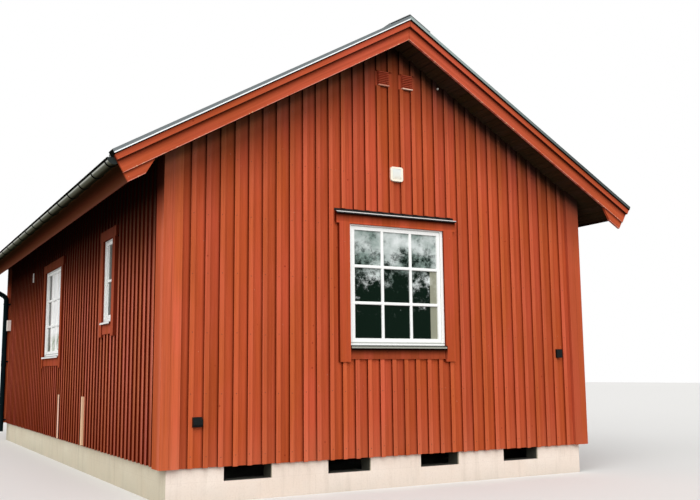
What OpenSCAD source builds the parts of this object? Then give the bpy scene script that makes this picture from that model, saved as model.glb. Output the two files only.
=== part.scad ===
// Boathouse: a timber building under a steep gable roof, clad in upright boards, on a low block plinth.
// The front gable looks along -Y, the long left wall along -X, and +Z is up. The ground is z = 0.
// The origin lies under the middle of the box that the whole building fills.

/* [Building] */
// Width over the faces of the wall boards
house_w = 5136; // [4600:2:6000]
// Length over the faces of the wall boards
house_l = 10100; // [9600:50:12000]
// Height of the long walls, from the foot of the boards to the roof's underside
wall_h = 3010; // [2950:10:3300]
// Thickness of the walls
wall_t = 180; // [120:5:240]
// Thickness of the wall boards
board_t = 22; // [18:1:28]

/* [Plinth] */
// Height of the plinth above the ground
plinth_h = 380; // [320:10:600]
// Thickness of the plinth
plinth_t = 200; // [190:5:240]
// How far the plinth stands back from the face of the boards
plinth_back = 30; // [24:1:45]
// How far the boards hang down over the plinth
plinth_lap = 50; // [20:5:90]
// Width of a crawl space vent
vent_w = 500; // [200:10:700]
// Height of a crawl space vent
vent_h = 190; // [100:5:190]
// Distance between the vents, middle to middle
vent_pitch = 1123; // [900:1:1200]
// Number of vents in each gable
vent_count = 4; // [2:1:4]
// Thickness of the floor
floor_t = 160; // [100:5:220]

/* [Roof] */
// Pitch of the roof in degrees
roof_pitch = 30.3; // [26:0.1:34]
// Overhang of the roof beyond the long walls, at the foot of the lower bargeboard
eave_out = 520; // [400:2:700]
// Overhang of the roof beyond the gables
gable_out = 355; // [250:5:500]
// How far the fascias stand back from the ends of the bargeboards
eave_back = 75; // [55:1:110]
// How far the low end of the roof sheet stands back from the ends of the bargeboards
sheet_back = 50; // [20:1:50]
// Thickness of the roof from its underside to the sheet
roof_t = 172; // [150:2:240]
// Thickness of the roof sheet between its ribs
sheet_t = 5; // [3:1:8]
// Height of the sheet's ribs
rib_h = 20; // [10:1:30]
// Distance between the ribs, middle to middle
rib_pitch = 200; // [150:5:300]
// Width of a rib at its foot
rib_w = 60; // [40:2:80]
// Width of each side of the ridge cap
cap_w = 180; // [120:5:240]
// Opening under the edge of the ridge cap
cap_lift = 10; // [4:1:16]

/* [Bargeboards] */
// Thickness of each bargeboard
barge_t = 28; // [20:1:34]
// How far the lower bargeboard hangs below the roof's underside
barge_drop = 25; // [10:1:60]
// Height of the lower bargeboard
lower_h = 170; // [145:1:180]
// Height of the lower bargeboard that shows under the upper one
lower_show = 120; // [90:1:140]
// Height of the upper bargeboard
upper_h = 95; // [70:1:98]
// Height of the foot board at the eaves
foot_h = 90; // [50:1:120]
// Length of the foot board along its lower edge
foot_len = 182; // [120:2:260]
// Length of the slanting end of the foot board, along the slope
foot_cut = 160; // [90:5:240]
// How far the foot board stands back from the lower bargeboard
foot_back = 14; // [6:1:20]
// How far the left fascia ends above the lower edge of the foot boards
fascia_short = 13; // [0:1:30]
// Thickness of the fascias
fascia_t = 25; // [18:1:34]
// Height of the metal verge strip's face
verge_face = 40; // [30:1:60]
// Thickness of the metal verge strip
verge_t = 6; // [3:1:8]
// How far the verge strip reaches over the roof sheet
verge_lap = 120; // [80:5:160]
// Height of the lip at the foot of the verge strip
verge_lip = 18; // [10:1:22]

/* [Rainwater] */
// Width of the gutter
gutter_d = 125; // [100:1:150]
// Thickness of the gutter
gutter_t = 3; // [2:0.5:5]
// Gap between the gutter and the fascia
gutter_gap = 30; // [20:1:50]
// Height of the gutter's rim below the low end of the roof sheet
gutter_drop = 36; // [20:1:80]
// Distance between the gutter hooks, middle to middle
hook_pitch = 550; // [450:10:700]
// Distance from the gutter's front end to the first hook
hook_first = 90; // [60:10:450]
// Width of a gutter hook
hook_w = 25; // [18:1:30]
// Thickness of a gutter hook
hook_t = 5; // [3:1:8]
// Length of a hook's plate on the fascia
hook_plate = 60; // [40:5:90]
// Diameter of the downpipe
pipe_d = 87; // [70:1:95]
// Thickness of the downpipe
pipe_t = 3; // [2:0.5:5]
// Slant of the swan neck, in degrees from upright
neck_slant = 60; // [40:1:70]
// Radius of the swan neck's bends
bend_r = 100; // [80:5:120]
// Distance from the downpipe's middle to the rear corner
pipe_y = 230; // [180:10:400]
// Gap between the downpipe and the boards
pipe_gap = 60; // [50:1:120]
// Height of the downpipe's mouth above the ground
pipe_foot = 170; // [120:5:300]
// Height of the lowest clamp above the downpipe's mouth
clamp_foot = 200; // [100:10:500]
// Width of a clamp's band
clamp_w = 30; // [20:1:50]
// Thickness of a clamp's band
clamp_t = 4; // [2:0.5:6]

/* [Corner boards] */
// Width of a corner board on the gable
corner_w = 189; // [150:1:230]
// Width of a corner board on the long wall
corner_side_w = 235; // [150:5:250]
// Thickness of the corner boards on the gable
corner_t = 40; // [30:1:45]
// Thickness of the corner boards on the long walls
corner_side_t = 56; // [40:1:65]
// Width of the side board's edge that shows on the gable
corner_edge = 88; // [70:1:110]
// Gap of the joint between two corner boards
corner_seam = 1.5; // [0.6:0.1:3]

/* [Windows] */
// Height of the window heads above the foot of the boards
head_z = 2455; // [2350:5:2560]
// Width of the large windows
big_w = 1200; // [900:5:1400]
// Height of the large windows
big_h = 1298; // [900:2:1400]
// How far the gable windows stand to one side of the middle, leftwards seen from outside
gable_shift = 10; // [0:1:40]
// Width of the small windows
small_w = 435; // [340:5:600]
// Height of the small windows
small_h = 970; // [600:5:1100]
// Distance from the front of the house to the middle of the small windows
small_y = 2170; // [1500:10:2700]
// Distance from the front of the house to the middle of the large side windows
side_y = 5510; // [4500:10:5900]
// Width of a window frame's face
frame_w = 30; // [26:1:50]
// Depth of a window frame
frame_d = 105; // [80:1:115]
// How far the frames stand out from the boards
frame_out = 20; // [10:1:24]
// Width of a sash's face
sash_w = 40; // [36:1:60]
// Gap between a sash and its frame
sash_gap = 3; // [2:0.5:5]
// Width of the stop that a sash closes against
stop_w = 14; // [8:1:20]
// Depth of a sash
sash_d = 45; // [40:1:55]
// How far a sash stands back from its frame
sash_back = 12; // [6:1:18]
// Thickness of the glass
glass_t = 20; // [8:1:24]
// How far the glass stands back from its sash
glass_back = 18; // [12:1:20]

/* [Casings] */
// Width of the boards round a window
casing_w = 115; // [90:1:140]
// How much wider the casings beside the large windows are
big_casing = 11; // [0:1:40]
// How far these boards stand out from the wall boards
casing_out = 45; // [35:1:60]
// Height of the board over a window
head_h = 120; // [90:1:140]
// How far the head board laps down over the frame
head_lap = 17; // [0:1:24]
// How far the head board reaches past the casings
head_over = 35; // [10:1:60]
// How far the casings run down past the window
casing_down = 175; // [130:5:220]
// Height of the board under a window
apron_h = 116; // [80:1:140]
// Distance from the window's foot down to the top of the board under it
apron_drop = 30; // [28:1:44]
// How far the board under a window stands out
apron_out = 32; // [24:1:36]
// Thickness of the metal flashings
flash_t = 4; // [2:0.5:6]
// How far the flashings reach past the boards under them
flash_out = 20; // [10:1:35]
// Height of the flashings' front lip
flash_lip = 22; // [14:1:26]
// Height of the flashings' upstand on the wall boards
flash_up = 26; // [10:1:40]

/* [Door] */
// Width of the doorway in the wall
door_w = 1000; // [850:10:1100]
// Height of the doorway above the floor
door_h = 2080; // [1950:10:2130]
// Thickness of the door
door_t = 54; // [40:1:80]
// Width of the door frame's face
jamb_w = 45; // [35:1:60]
// Depth of the door frame
jamb_d = 110; // [90:1:130]
// Height of the threshold
sill_h = 25; // [15:1:40]
// Gap round the door
door_gap = 3; // [2:0.5:5]
// Distance from the front of the house to the middle of the door
door_y = 8250; // [7800:10:8900]

/* [Wall fittings] */
// Width of a louvred gable vent
louvre_w = 136; // [120:1:220]
// Height of a louvred gable vent
louvre_h = 172; // [120:1:220]
// How far a louvred vent stands out from the boards
louvre_out = 40; // [30:1:50]
// Number of slats in a louvred vent
slat_count = 5; // [3:1:7]
// Distance between the two louvred vents, middle to middle
louvre_pitch = 310; // [240:1:400]
// Distance from the gable's peak down to the foot of the louvred vents
louvre_drop = 490; // [330:5:800]
// Width of the vent hood over the front window
hood_w = 156; // [120:1:200]
// Height of the vent hood
hood_h = 160; // [120:1:200]
// Depth of the vent hood
hood_d = 46; // [34:1:80]
// Thickness of the vent hood's shell
hood_t = 5; // [3:1:8]
// Radius of the vent hood's corners
hood_r = 26; // [12:1:40]
// Width of the rim round the vent hood's sunk face
hood_rim = 20; // [10:1:40]
// Distance from the head board up to the foot of the hood
hood_gap = 392; // [150:1:500]
// Width and height of the outdoor socket
socket_w = 93; // [80:1:120]
// Depth of the outdoor socket
socket_d = 62; // [40:1:80]
// Distance from the left end of the boards to the socket's middle
socket_x = 306; // [240:1:500]
// Height of the socket above the foot of the boards
socket_z = 378; // [200:2:900]
// Width of the small box lamp
lamp_w = 82; // [70:1:110]
// Height of the small box lamp
lamp_h = 100; // [80:1:140]
// Depth of the small box lamp
lamp_d = 50; // [35:1:80]
// Distance from the right end of the boards to the lamp's middle
lamp_x = 338; // [240:1:500]
// Height of the lamp above the foot of the boards
lamp_z = 1025; // [800:5:1500]

/* [Hidden] */
$fn = 48;

// Overlap that a cut takes past the face it goes through
cut = 1;
mitre_gap = 0.5;
seat = 0.3;
vent_shift = -35;

// Main planes, with z from the ground and x from the ridge
half_w = house_w / 2;
half_l = house_l / 2;
clad_z = plinth_h - plinth_lap;
ridge_z = clad_z + wall_h + half_w * tan(roof_pitch);
eave_len = (half_w + eave_out + barge_drop * sin(roof_pitch)) / cos(roof_pitch);
fascia_len = eave_len - eave_back;
sheet_top = roof_t + sheet_t + rib_h;
verge_top = sheet_top + verge_t;
floor_z = plinth_h + floor_t;
gable_top = wall_h + half_w * tan(roof_pitch);
louvre_z = gable_top - louvre_drop;
head_top = head_z + head_h - head_lap;
hood_z = head_top + hood_gap;

// Depths of the boards on a gable, from the face of the wall boards outwards
lower_face = gable_out - barge_t;
roof_end = lower_face - barge_t;
foot_face = lower_face - foot_back;
foot_end = foot_face - barge_t;

// The gutter hangs from the left fascia
fascia_drop = barge_drop + foot_h - fascia_short;
rim_z = down(eave_len, roof_t)[1] - gutter_drop;
gutter_r = gutter_d / 2;
gutter_x = fascia_x(rim_z) + gutter_gap + gutter_r;
gutter_l = house_l + 2 * (roof_end - seat);

// Only the left eaves carry a gutter, so the ridge stands a little to the right of the origin
mid_x = (gutter_x + gutter_r + hook_t - down(eave_len, verge_top)[0]) / 2;

// Point at a distance along the slope from the ridge and a height square to the roof's underside
function down(along, high) = [
    along * cos(roof_pitch) + high * sin(roof_pitch),
    ridge_z - along * sin(roof_pitch) + high * cos(roof_pitch)
];
function at_ridge(high) = [mitre_gap / 2, ridge_z + high / cos(roof_pitch)];
// Distance of the fascia's face from the ridge line at a height above the ground
function fascia_x(z) = down(fascia_len, 0)[0] + (z - down(fascia_len, 0)[1]) * tan(roof_pitch);

// Carries a cross section, drawn from the ridge line outwards, along the house between two places
module along_house(from_y, to_y) {
    translate([mid_x, to_y, 0])
        rotate([90, 0, 0])
            linear_extrude(to_y - from_y)
                children();
}

// Turns a side: 1 keeps the right-hand slope, -1 mirrors it to the left
module roof_side(side) {
    translate([mid_x, 0, 0])
        mirror([side < 0 ? 1 : 0, 0, 0])
            translate([-mid_x, 0, 0])
                children();
}

// Stands the children on a wall: x runs along it, -y points outwards and z = 0 is the boards' foot
module on_front() {
    translate([mid_x, -half_l, clad_z]) children();
}

module on_rear() {
    translate([mid_x, half_l, clad_z]) rotate([0, 0, 180]) children();
}

module on_left() {
    translate([mid_x - half_w, 0, clad_z]) rotate([0, 0, -90]) children();
}

module on_right() {
    translate([mid_x + half_w, 0, clad_z]) rotate([0, 0, 90]) children();
}

// Walls

module plinth_gable() {
    difference() {
        translate([plinth_back - half_w, plinth_back, -clad_z])
            cube([house_w - 2 * plinth_back, plinth_t, plinth_h]);
        for (i = [0:vent_count - 1])
            translate([vent_shift + (i - (vent_count - 1) / 2) * vent_pitch - vent_w / 2,
                plinth_back - cut, plinth_lap - vent_h])
                cube([vent_w, plinth_t + 2 * cut, vent_h + cut]);
    }
}

module plinth_side() {
    side_l = house_l - 2 * (plinth_back + plinth_t);
    translate([-side_l / 2, plinth_back, -clad_z])
        cube([side_l, plinth_t, plinth_h]);
}

module plinth_front() {
    color("#cfc3b4") on_front() plinth_gable();
}

module plinth_rear() {
    color("#cfc3b4") on_rear() plinth_gable();
}

module plinth_left() {
    color("#cfc3b4") on_left() plinth_side();
}

module plinth_right() {
    color("#cfc3b4") on_right() plinth_side();
}

module floor() {
    color("#b08a5a")
        translate([mid_x - half_w + wall_t, wall_t - half_l, plinth_h])
            cube([house_w - 2 * wall_t, house_l - 2 * wall_t, floor_t]);
}

// Outline of a gable wall, from a height above the boards' foot up to the roof
module gable_outline(from_z) {
    polygon([[-half_w, from_z], [half_w, from_z], [half_w, wall_h], [0, gable_top],
        [-half_w, wall_h]]);
}

module gable_wall() {
    difference() {
        union() {
            translate([0, board_t, 0]) rotate([90, 0, 0])
                linear_extrude(board_t) gable_outline(0);
            translate([0, wall_t, 0]) rotate([90, 0, 0])
                linear_extrude(wall_t - board_t) gable_outline(plinth_lap);
        }
        window_hole(-gable_shift, big_w, big_h);
        for (side = [-1, 1])
            translate([side * louvre_pitch / 2 - louvre_w / 4, -cut, louvre_z + louvre_h / 4])
                cube([louvre_w / 2, wall_t + 2 * cut, louvre_h / 2]);
    }
}

module side_wall_body() {
    side_l = house_l - 2 * wall_t;
    translate([-side_l / 2, 0, 0])
        rotate([90, 0, 90])
            linear_extrude(side_l)
                polygon([[0, 0], [board_t, 0], [board_t, plinth_lap], [wall_t, plinth_lap],
                    [wall_t, wall_h + wall_t * tan(roof_pitch)], [0, wall_h]]);
}

module window_hole(x, w, h) {
    translate([x - w / 2, -cut, head_z - h])
        cube([w, wall_t + 2 * cut, h]);
}

// Places along a long wall, measured from the front of the house, for the left and right walls
function on_left_x(y) = half_l - y;
function on_right_x(y) = y - half_l;
door_foot = floor_z - clad_z;

module front_wall() {
    color("#a5452f") difference() {
        on_front() gable_wall();
        on_front() translate([-gable_shift, -cut, hood_z + hood_h / 2]) rotate([-90, 0, 0])
            cylinder(d = hood_w * 0.6, h = wall_t + 2 * cut);
    }
}

module rear_wall() {
    color("#a5452f") on_rear() gable_wall();
}

module left_wall() {
    color("#7d3526") on_left() difference() {
        side_wall_body();
        window_hole(on_left_x(small_y), small_w, small_h);
        window_hole(on_left_x(side_y), big_w, big_h);
    }
}

module right_wall() {
    color("#a5452f") on_right() difference() {
        side_wall_body();
        window_hole(on_right_x(small_y), small_w, small_h);
        window_hole(on_right_x(side_y), big_w, big_h);
        translate([on_right_x(door_y) - door_w / 2, -cut, door_foot])
            cube([door_w, wall_t + 2 * cut, door_h]);
    }
}

// The space under the roof, drawn across the house
module under_roof(from_y, to_y) {
    reach = half_w + corner_side_t + cut;
    drop = reach * tan(roof_pitch);
    along_house(from_y, to_y)
        polygon([[-reach, clad_z], [reach, clad_z], [reach, ridge_z - drop],
            [0, ridge_z], [-reach, ridge_z - drop]]);
}

// Two boards that meet round a corner, the side one rebated over the gable's boards
module corner_pair(side, end) {
    outer_x = mid_x + side * (half_w + corner_side_t);
    outer_y = end * (half_l + corner_t);
    intersection() {
        translate([outer_x, outer_y, clad_z]) mirror([side > 0 ? 1 : 0, 0, 0])
            mirror([0, end > 0 ? 1 : 0, 0])
                linear_extrude(ridge_z) {
                    polygon([[0, 0], [corner_edge, 0], [corner_edge, corner_t],
                        [corner_side_t, corner_t], [corner_side_t, corner_side_w],
                        [0, corner_side_w]]);
                    translate([corner_edge + corner_seam, 0])
                        square([corner_w - corner_edge - corner_seam, corner_t]);
                }
        under_roof(-half_l - corner_t - cut, half_l + corner_t + cut);
    }
}

module corner_boards_front() {
    color("#a5452f") for (side = [-1, 1]) corner_pair(side, -1);
}

module corner_boards_rear() {
    color("#a5452f") for (side = [-1, 1]) corner_pair(side, 1);
}

// Roof

module roof_slab(side) {
    roof_side(side)
        along_house(-half_l - roof_end, half_l + roof_end)
            polygon([at_ridge(0), at_ridge(roof_t), down(fascia_len - fascia_t, roof_t),
                down(fascia_len - fascia_t, 0)]);
}

// Edge of the ribbed sheet seen from the eaves: x along the house, y square to the slope
function sheet_edge(len) =
    let (n = floor((len - rib_w) / rib_pitch), start = (len - n * rib_pitch) / 2)
    [for (i = [0:n])
        let (x = start + i * rib_pitch)
        each [[x - rib_w / 2, sheet_t], [x - rib_w / 4, sheet_t + rib_h],
            [x + rib_w / 4, sheet_t + rib_h], [x + rib_w / 2, sheet_t]]];

module roof_sheet(side) {
    len = house_l + 2 * lower_face;
    sheet_l = eave_len + roof_t * tan(roof_pitch);
    roof_side(side)
        intersection() {
            translate([mid_x, -len / 2, ridge_z])
                rotate([0, roof_pitch, 0])
                    translate([-roof_t * tan(roof_pitch) - sheet_top, 0, roof_t])
                        rotate([90, 0, 90])
                            linear_extrude(sheet_l + sheet_top)
                                polygon(concat([[0, 0], [0, sheet_t]], sheet_edge(len),
                                    [[len, sheet_t], [len, 0]]));
            along_house(-len, len)
                polygon([at_ridge(0), at_ridge(sheet_top + cut),
                    down(eave_len - sheet_back, sheet_top + cut), down(eave_len - sheet_back, 0)]);
        }
}

module roof_left() {
    color("#5a2c22") roof_slab(-1);
}

module roof_right() {
    color("#5a2c22") roof_slab(1);
}

module roof_sheet_left() {
    color("#8c9092") roof_sheet(-1);
}

module roof_sheet_right() {
    color("#8c9092") roof_sheet(1);
}

// A folded plate over the ridge: it stands on the verge strips, clear of the ribs
module ridge_cap() {
    top = verge_top + cap_lift;
    len = house_l + 2 * gable_out;
    edge = down(cap_w, verge_top);
    brink = down(cap_w, top + verge_t);
    inner = down(cap_w - verge_t, top);
    foot = down(cap_w - verge_t, verge_top);
    color("#8c9092") along_house(-len / 2, len / 2)
        polygon([[0, ridge_z + (top + verge_t) / cos(roof_pitch)], brink, edge, foot, inner,
            [0, ridge_z + top / cos(roof_pitch)],
            [-inner[0], inner[1]], [-foot[0], foot[1]], [-edge[0], edge[1]], [-brink[0], brink[1]]]);
}

// A board along both rakes, mitred at the ridge and cut square at the eaves
module rake_boards(end, low, high, face, thick) {
    near = end * (half_l + face);
    far = end * (half_l + face - thick);
    for (side = [-1, 1])
        roof_side(side)
            along_house(min(near, far), max(near, far))
                polygon([at_ridge(low), at_ridge(high), down(eave_len, high), down(eave_len, low)]);
}

module lower_bargeboards(end) {
    rake_boards(end, -barge_drop, lower_h - barge_drop, lower_face, barge_t);
}

module upper_bargeboards(end) {
    rake_boards(end, lower_show - barge_drop, lower_show + upper_h - barge_drop, gable_out, barge_t);
}

module foot_boards(end) {
    near = end * (half_l + foot_face);
    far = end * (half_l + foot_end);
    low = -barge_drop - foot_h;
    for (side = [-1, 1])
        roof_side(side)
            along_house(min(near, far), max(near, far))
                polygon([down(eave_len, -barge_drop), down(eave_len, low),
                    down(eave_len - foot_len, low), down(eave_len - foot_len - foot_cut, -barge_drop)]);
}

// A folded strip that caps the upper bargeboards, with a lip that kicks out at its foot
module verge_strip(end) {
    kick = 8;
    foot = verge_top - verge_face;
    outer = gable_out + verge_t;
    profile = [[gable_out - verge_lap, sheet_top], [gable_out - verge_lap, verge_top],
        [outer, verge_top], [outer, foot + verge_lip], [outer + kick, foot],
        [outer + kick - verge_t, foot], [gable_out, foot + verge_lip], [gable_out, sheet_top]];
    run = eave_len + verge_top * tan(roof_pitch);
    for (side = [-1, 1])
        roof_side(side)
            intersection() {
                translate([mid_x, end * half_l, ridge_z])
                    mirror([0, end < 0 ? 1 : 0, 0])
                        rotate([0, roof_pitch, 0])
                            translate([-verge_top * tan(roof_pitch), 0, 0])
                                rotate([90, 0, 90])
                                    linear_extrude(run)
                                        polygon(profile);
                translate([mid_x + mitre_gap / 2, -house_l, 0])
                    cube([house_w, 2 * house_l, 2 * ridge_z]);
            }
}

module lower_bargeboards_front() {
    color("#b5492f") lower_bargeboards(-1);
}

module lower_bargeboards_rear() {
    color("#b5492f") lower_bargeboards(1);
}

module upper_bargeboards_front() {
    color("#b5492f") upper_bargeboards(-1);
}

module upper_bargeboards_rear() {
    color("#b5492f") upper_bargeboards(1);
}

module foot_boards_front() {
    color("#b5492f") foot_boards(-1);
}

module foot_boards_rear() {
    color("#b5492f") foot_boards(1);
}

module verge_strip_front() {
    color("#d9dcdc") verge_strip(-1);
}

module verge_strip_rear() {
    color("#d9dcdc") verge_strip(1);
}

// A board square to the slope on the ends of the roof, notched behind the foot boards
module fascia(side, drop) {
    roof_side(side) difference() {
        along_house(-half_l - roof_end, half_l + roof_end)
            polygon([down(fascia_len - fascia_t, roof_t), down(fascia_len, roof_t),
                down(fascia_len, -drop), down(fascia_len - fascia_t, -drop)]);
        for (end = [-1, 1])
            along_house(min(end * (half_l + foot_end), end * (half_l + roof_end + cut)),
                max(end * (half_l + foot_end), end * (half_l + roof_end + cut)))
                polygon([down(fascia_len - fascia_t - cut, -barge_drop),
                    down(fascia_len + cut, -barge_drop), down(fascia_len + cut, -drop - cut),
                    down(fascia_len - fascia_t - cut, -drop - cut)]);
    }
}

module fascia_left() {
    color("#7d3526") fascia(-1, fascia_drop);
}

module fascia_right() {
    color("#7d3526") fascia(1, barge_drop);
}

// Rainwater

module half_ring(outer, inner) {
    difference() {
        circle(outer);
        circle(inner);
        translate([-outer - cut, 0]) square([2 * (outer + cut), outer + cut]);
    }
}

module gutter() {
    end_t = 2 * gutter_t;
    color("#3c4640") roof_side(-1) {
        difference() {
            along_house(-gutter_l / 2, gutter_l / 2)
                translate([gutter_x, rim_z])
                    half_ring(gutter_r, gutter_r - gutter_t);
            pipe_outlet(gutter_r);
        }
        for (end = [-1, 1])
            along_house(end < 0 ? -gutter_l / 2 : gutter_l / 2 - end_t,
                end < 0 ? end_t - gutter_l / 2 : gutter_l / 2)
                translate([gutter_x, rim_z])
                    half_ring(gutter_r, gutter_t);
        along_house(-gutter_l / 2, gutter_l / 2)
            translate([gutter_x + gutter_r - gutter_t, rim_z - gutter_t])
                circle(gutter_t);
    }
}

// The hole in the gutter's foot over the downpipe
module pipe_outlet(depth) {
    translate([mid_x + gutter_x, half_l - pipe_y, rim_z - depth - cut])
        cylinder(d = pipe_d - 2 * pipe_t, h = depth);
}

// A strap round the gutter, with an arm back to a plate on the fascia
module gutter_hooks() {
    count = floor((gutter_l - 2 * hook_first) / hook_pitch);
    inner = gutter_x - gutter_r;
    foot = rim_z - hook_plate;
    plate = hook_t / cos(roof_pitch);
    color("#2c3430") roof_side(-1)
        for (i = [0:count]) {
            y = hook_first - gutter_l / 2 + i * hook_pitch;
            along_house(y - hook_w / 2, y + hook_w / 2) {
                translate([gutter_x, rim_z])
                    half_ring(gutter_r + hook_t, gutter_r);
                polygon([[inner - hook_t, rim_z - cut], [inner, rim_z - cut], [inner, rim_z + hook_t],
                    [fascia_x(rim_z + hook_t), rim_z + hook_t], [fascia_x(foot), foot],
                    [fascia_x(foot) + plate, foot], [fascia_x(rim_z) + plate, rim_z],
                    [inner - hook_t, rim_z]]);
            }
        }
}

// The swan neck runs down from the gutter, in to the wall, and down into the downpipe
wall_pipe_x = half_w + pipe_gap + pipe_d / 2;
neck_straight = 40;
bend_in = bend_r * (1 - cos(neck_slant));
bend_down = bend_r * sin(neck_slant);
slant_l = (gutter_x - wall_pipe_x - 2 * bend_in) / sin(neck_slant);
upper_bend_z = rim_z - gutter_r - neck_straight;
lower_bend_z = upper_bend_z - 2 * bend_down - slant_l * cos(neck_slant);
pipe_seam = 0.2;

module pipe_ring() {
    difference() {
        circle(d = pipe_d);
        circle(d = pipe_d - 2 * pipe_t);
    }
}

module pipe_bend(from_angle) {
    rotate([90, 0, 0])
        rotate([0, 0, from_angle])
            rotate_extrude(angle = neck_slant)
                translate([bend_r, 0])
                    pipe_ring();
}

module swan_neck() {
    color("#22262a") roof_side(-1) translate([mid_x, half_l - pipe_y, 0]) {
        translate([gutter_x, 0, upper_bend_z + pipe_seam])
            linear_extrude(neck_straight - pipe_seam)
                pipe_ring();
        translate([gutter_x - bend_r, 0, upper_bend_z])
            pipe_bend(-neck_slant);
        translate([gutter_x - bend_in, 0, upper_bend_z - bend_down])
            rotate([0, 180 + neck_slant, 0])
                translate([0, 0, pipe_seam])
                    linear_extrude(slant_l - 2 * pipe_seam)
                        pipe_ring();
        translate([wall_pipe_x + bend_r, 0, lower_bend_z])
            pipe_bend(180 - neck_slant);
    }
}

module downpipe() {
    long = lower_bend_z - pipe_seam - pipe_foot;
    color("#22262a") roof_side(-1) translate([mid_x + wall_pipe_x, half_l - pipe_y, pipe_foot])
        linear_extrude(long)
            pipe_ring();
}

// Bands round the downpipe, each on a stay that stands on the wall
module pipe_clamps() {
    top = lower_bend_z - 3 * clamp_w;
    foot = pipe_foot + clamp_foot;
    color("#22262a") roof_side(-1) translate([mid_x + wall_pipe_x, half_l - pipe_y, 0])
        for (z = [foot, (foot + top) / 2, top])
            translate([0, 0, z]) difference() {
                union() {
                    cylinder(d = pipe_d + 2 * clamp_t, h = clamp_w);
                    translate([-pipe_d / 2 - pipe_gap, -clamp_w / 2, 0])
                        cube([pipe_gap + pipe_d / 2, clamp_w, clamp_w]);
                }
                translate([0, 0, -cut]) cylinder(d = pipe_d, h = clamp_w + 2 * cut);
            }
}

// Windows, drawn on a wall about the middle of the opening's head

module ring(w, h, face, from_y, to_y) {
    translate([0, to_y, -h / 2]) rotate([90, 0, 0])
        linear_extrude(to_y - from_y)
            difference() {
                square([w, h], center = true);
                square([w - 2 * face, h - 2 * face], center = true);
            }
}

module window(x, w, h) {
    sash_y = sash_back - frame_out;
    inset = frame_w + sash_gap;
    translate([x, 0, head_z]) {
        ring(w, h, frame_w, -frame_out, frame_d - frame_out);
        translate([0, 0, -frame_w])
            ring(w - 2 * frame_w, h - 2 * frame_w, stop_w, sash_y + sash_d, frame_d - frame_out);
        translate([0, 0, -inset])
            ring(w - 2 * inset, h - 2 * inset, sash_w, sash_y, sash_y + sash_d - seat);
    }
}

module pane(x, w, h) {
    face = frame_w + sash_gap + sash_w;
    y = sash_back - frame_out + glass_back;
    translate([x - w / 2 + face, y, head_z - h + face])
        cube([w - 2 * face, glass_t, h - 2 * face]);
}

function casing_of(w) = w < big_w ? casing_w : casing_w + big_casing;

module casing(x, w, h) {
    leg_w = casing_of(w);
    head_l = w + 2 * (leg_w + head_over);
    translate([x, 0, head_z]) {
        for (side = [-1, 1])
            translate([side * (w + leg_w) / 2 - leg_w / 2, -casing_out, -h - casing_down])
                cube([leg_w, casing_out, h + casing_down - head_lap]);
        translate([-head_l / 2, 0, 0])
            rotate([90, 0, 90])
                linear_extrude(head_l)
                    polygon([[0, 0], [0, head_h - head_lap], [-casing_out, head_h - head_lap],
                        [-casing_out, -head_lap], [-frame_out - seat, -head_lap],
                        [-frame_out - seat, 0]]);
        translate([-w / 2, -apron_out, -h - apron_drop - apron_h])
            cube([w, apron_out, apron_h]);
    }
}

// A sloping metal cover, from the wall out over a board, with a lip at its front
module cover_shape(reach, fall) {
    polygon([[0, 0], [-reach, -fall], [-reach, -fall - flash_lip],
        [flash_t - reach, -fall - flash_lip], [flash_t - reach, -fall - flash_t], [0, -flash_t]]);
}

// The cover over a head board, with an upstand on the wall boards
module head_cover(x, w) {
    head_l = w + 2 * (casing_of(w) + head_over + flash_t);
    head_fall = 12;
    translate([x - head_l / 2, 0, head_top + flash_t + head_fall])
        rotate([90, 0, 90])
            linear_extrude(head_l) {
                cover_shape(casing_out + flash_out, head_fall);
                translate([-flash_t, -flash_t]) square([flash_t, flash_up + flash_t]);
            }
}

// The cover under a window frame
module sill_cover(x, w, h) {
    translate([x - w / 2, -frame_out, head_z - h])
        rotate([90, 0, 90])
            linear_extrude(w)
                cover_shape(casing_out, apron_drop - flash_lip + flash_t);
}

module window_front() {
    color("white") on_front() window(-gable_shift, big_w, big_h);
}

module window_rear() {
    color("white") on_rear() window(-gable_shift, big_w, big_h);
}

module windows_left() {
    color("white") on_left() {
        window(on_left_x(small_y), small_w, small_h);
        window(on_left_x(side_y), big_w, big_h);
    }
}

module windows_right() {
    color("white") on_right() {
        window(on_right_x(small_y), small_w, small_h);
        window(on_right_x(side_y), big_w, big_h);
    }
}

module window_glass() {
    color("lightblue") {
        on_front() pane(-gable_shift, big_w, big_h);
        on_rear() pane(-gable_shift, big_w, big_h);
        on_left() {
            pane(on_left_x(small_y), small_w, small_h);
            pane(on_left_x(side_y), big_w, big_h);
        }
        on_right() {
            pane(on_right_x(small_y), small_w, small_h);
            pane(on_right_x(side_y), big_w, big_h);
        }
    }
}

module casings_front() {
    color("#b5492f") on_front() casing(-gable_shift, big_w, big_h);
}

module casings_rear() {
    color("#b5492f") on_rear() casing(-gable_shift, big_w, big_h);
}

module casings_left() {
    color("#7d3526") on_left() {
        casing(on_left_x(small_y), small_w, small_h);
        casing(on_left_x(side_y), big_w, big_h);
    }
}

module casings_right() {
    color("#b5492f") on_right() {
        casing(on_right_x(small_y), small_w, small_h);
        casing(on_right_x(side_y), big_w, big_h);
        translate([on_right_x(door_y), 0, door_foot + door_h]) {
            for (side = [-1, 1])
                translate([side * (door_w + casing_w) / 2 - casing_w / 2, -casing_out, -door_h])
                    cube([casing_w, casing_out, door_h]);
            translate([-door_w / 2 - casing_w, -casing_out, 0])
                cube([door_w + 2 * casing_w, casing_out, head_h]);
        }
    }
}

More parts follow.
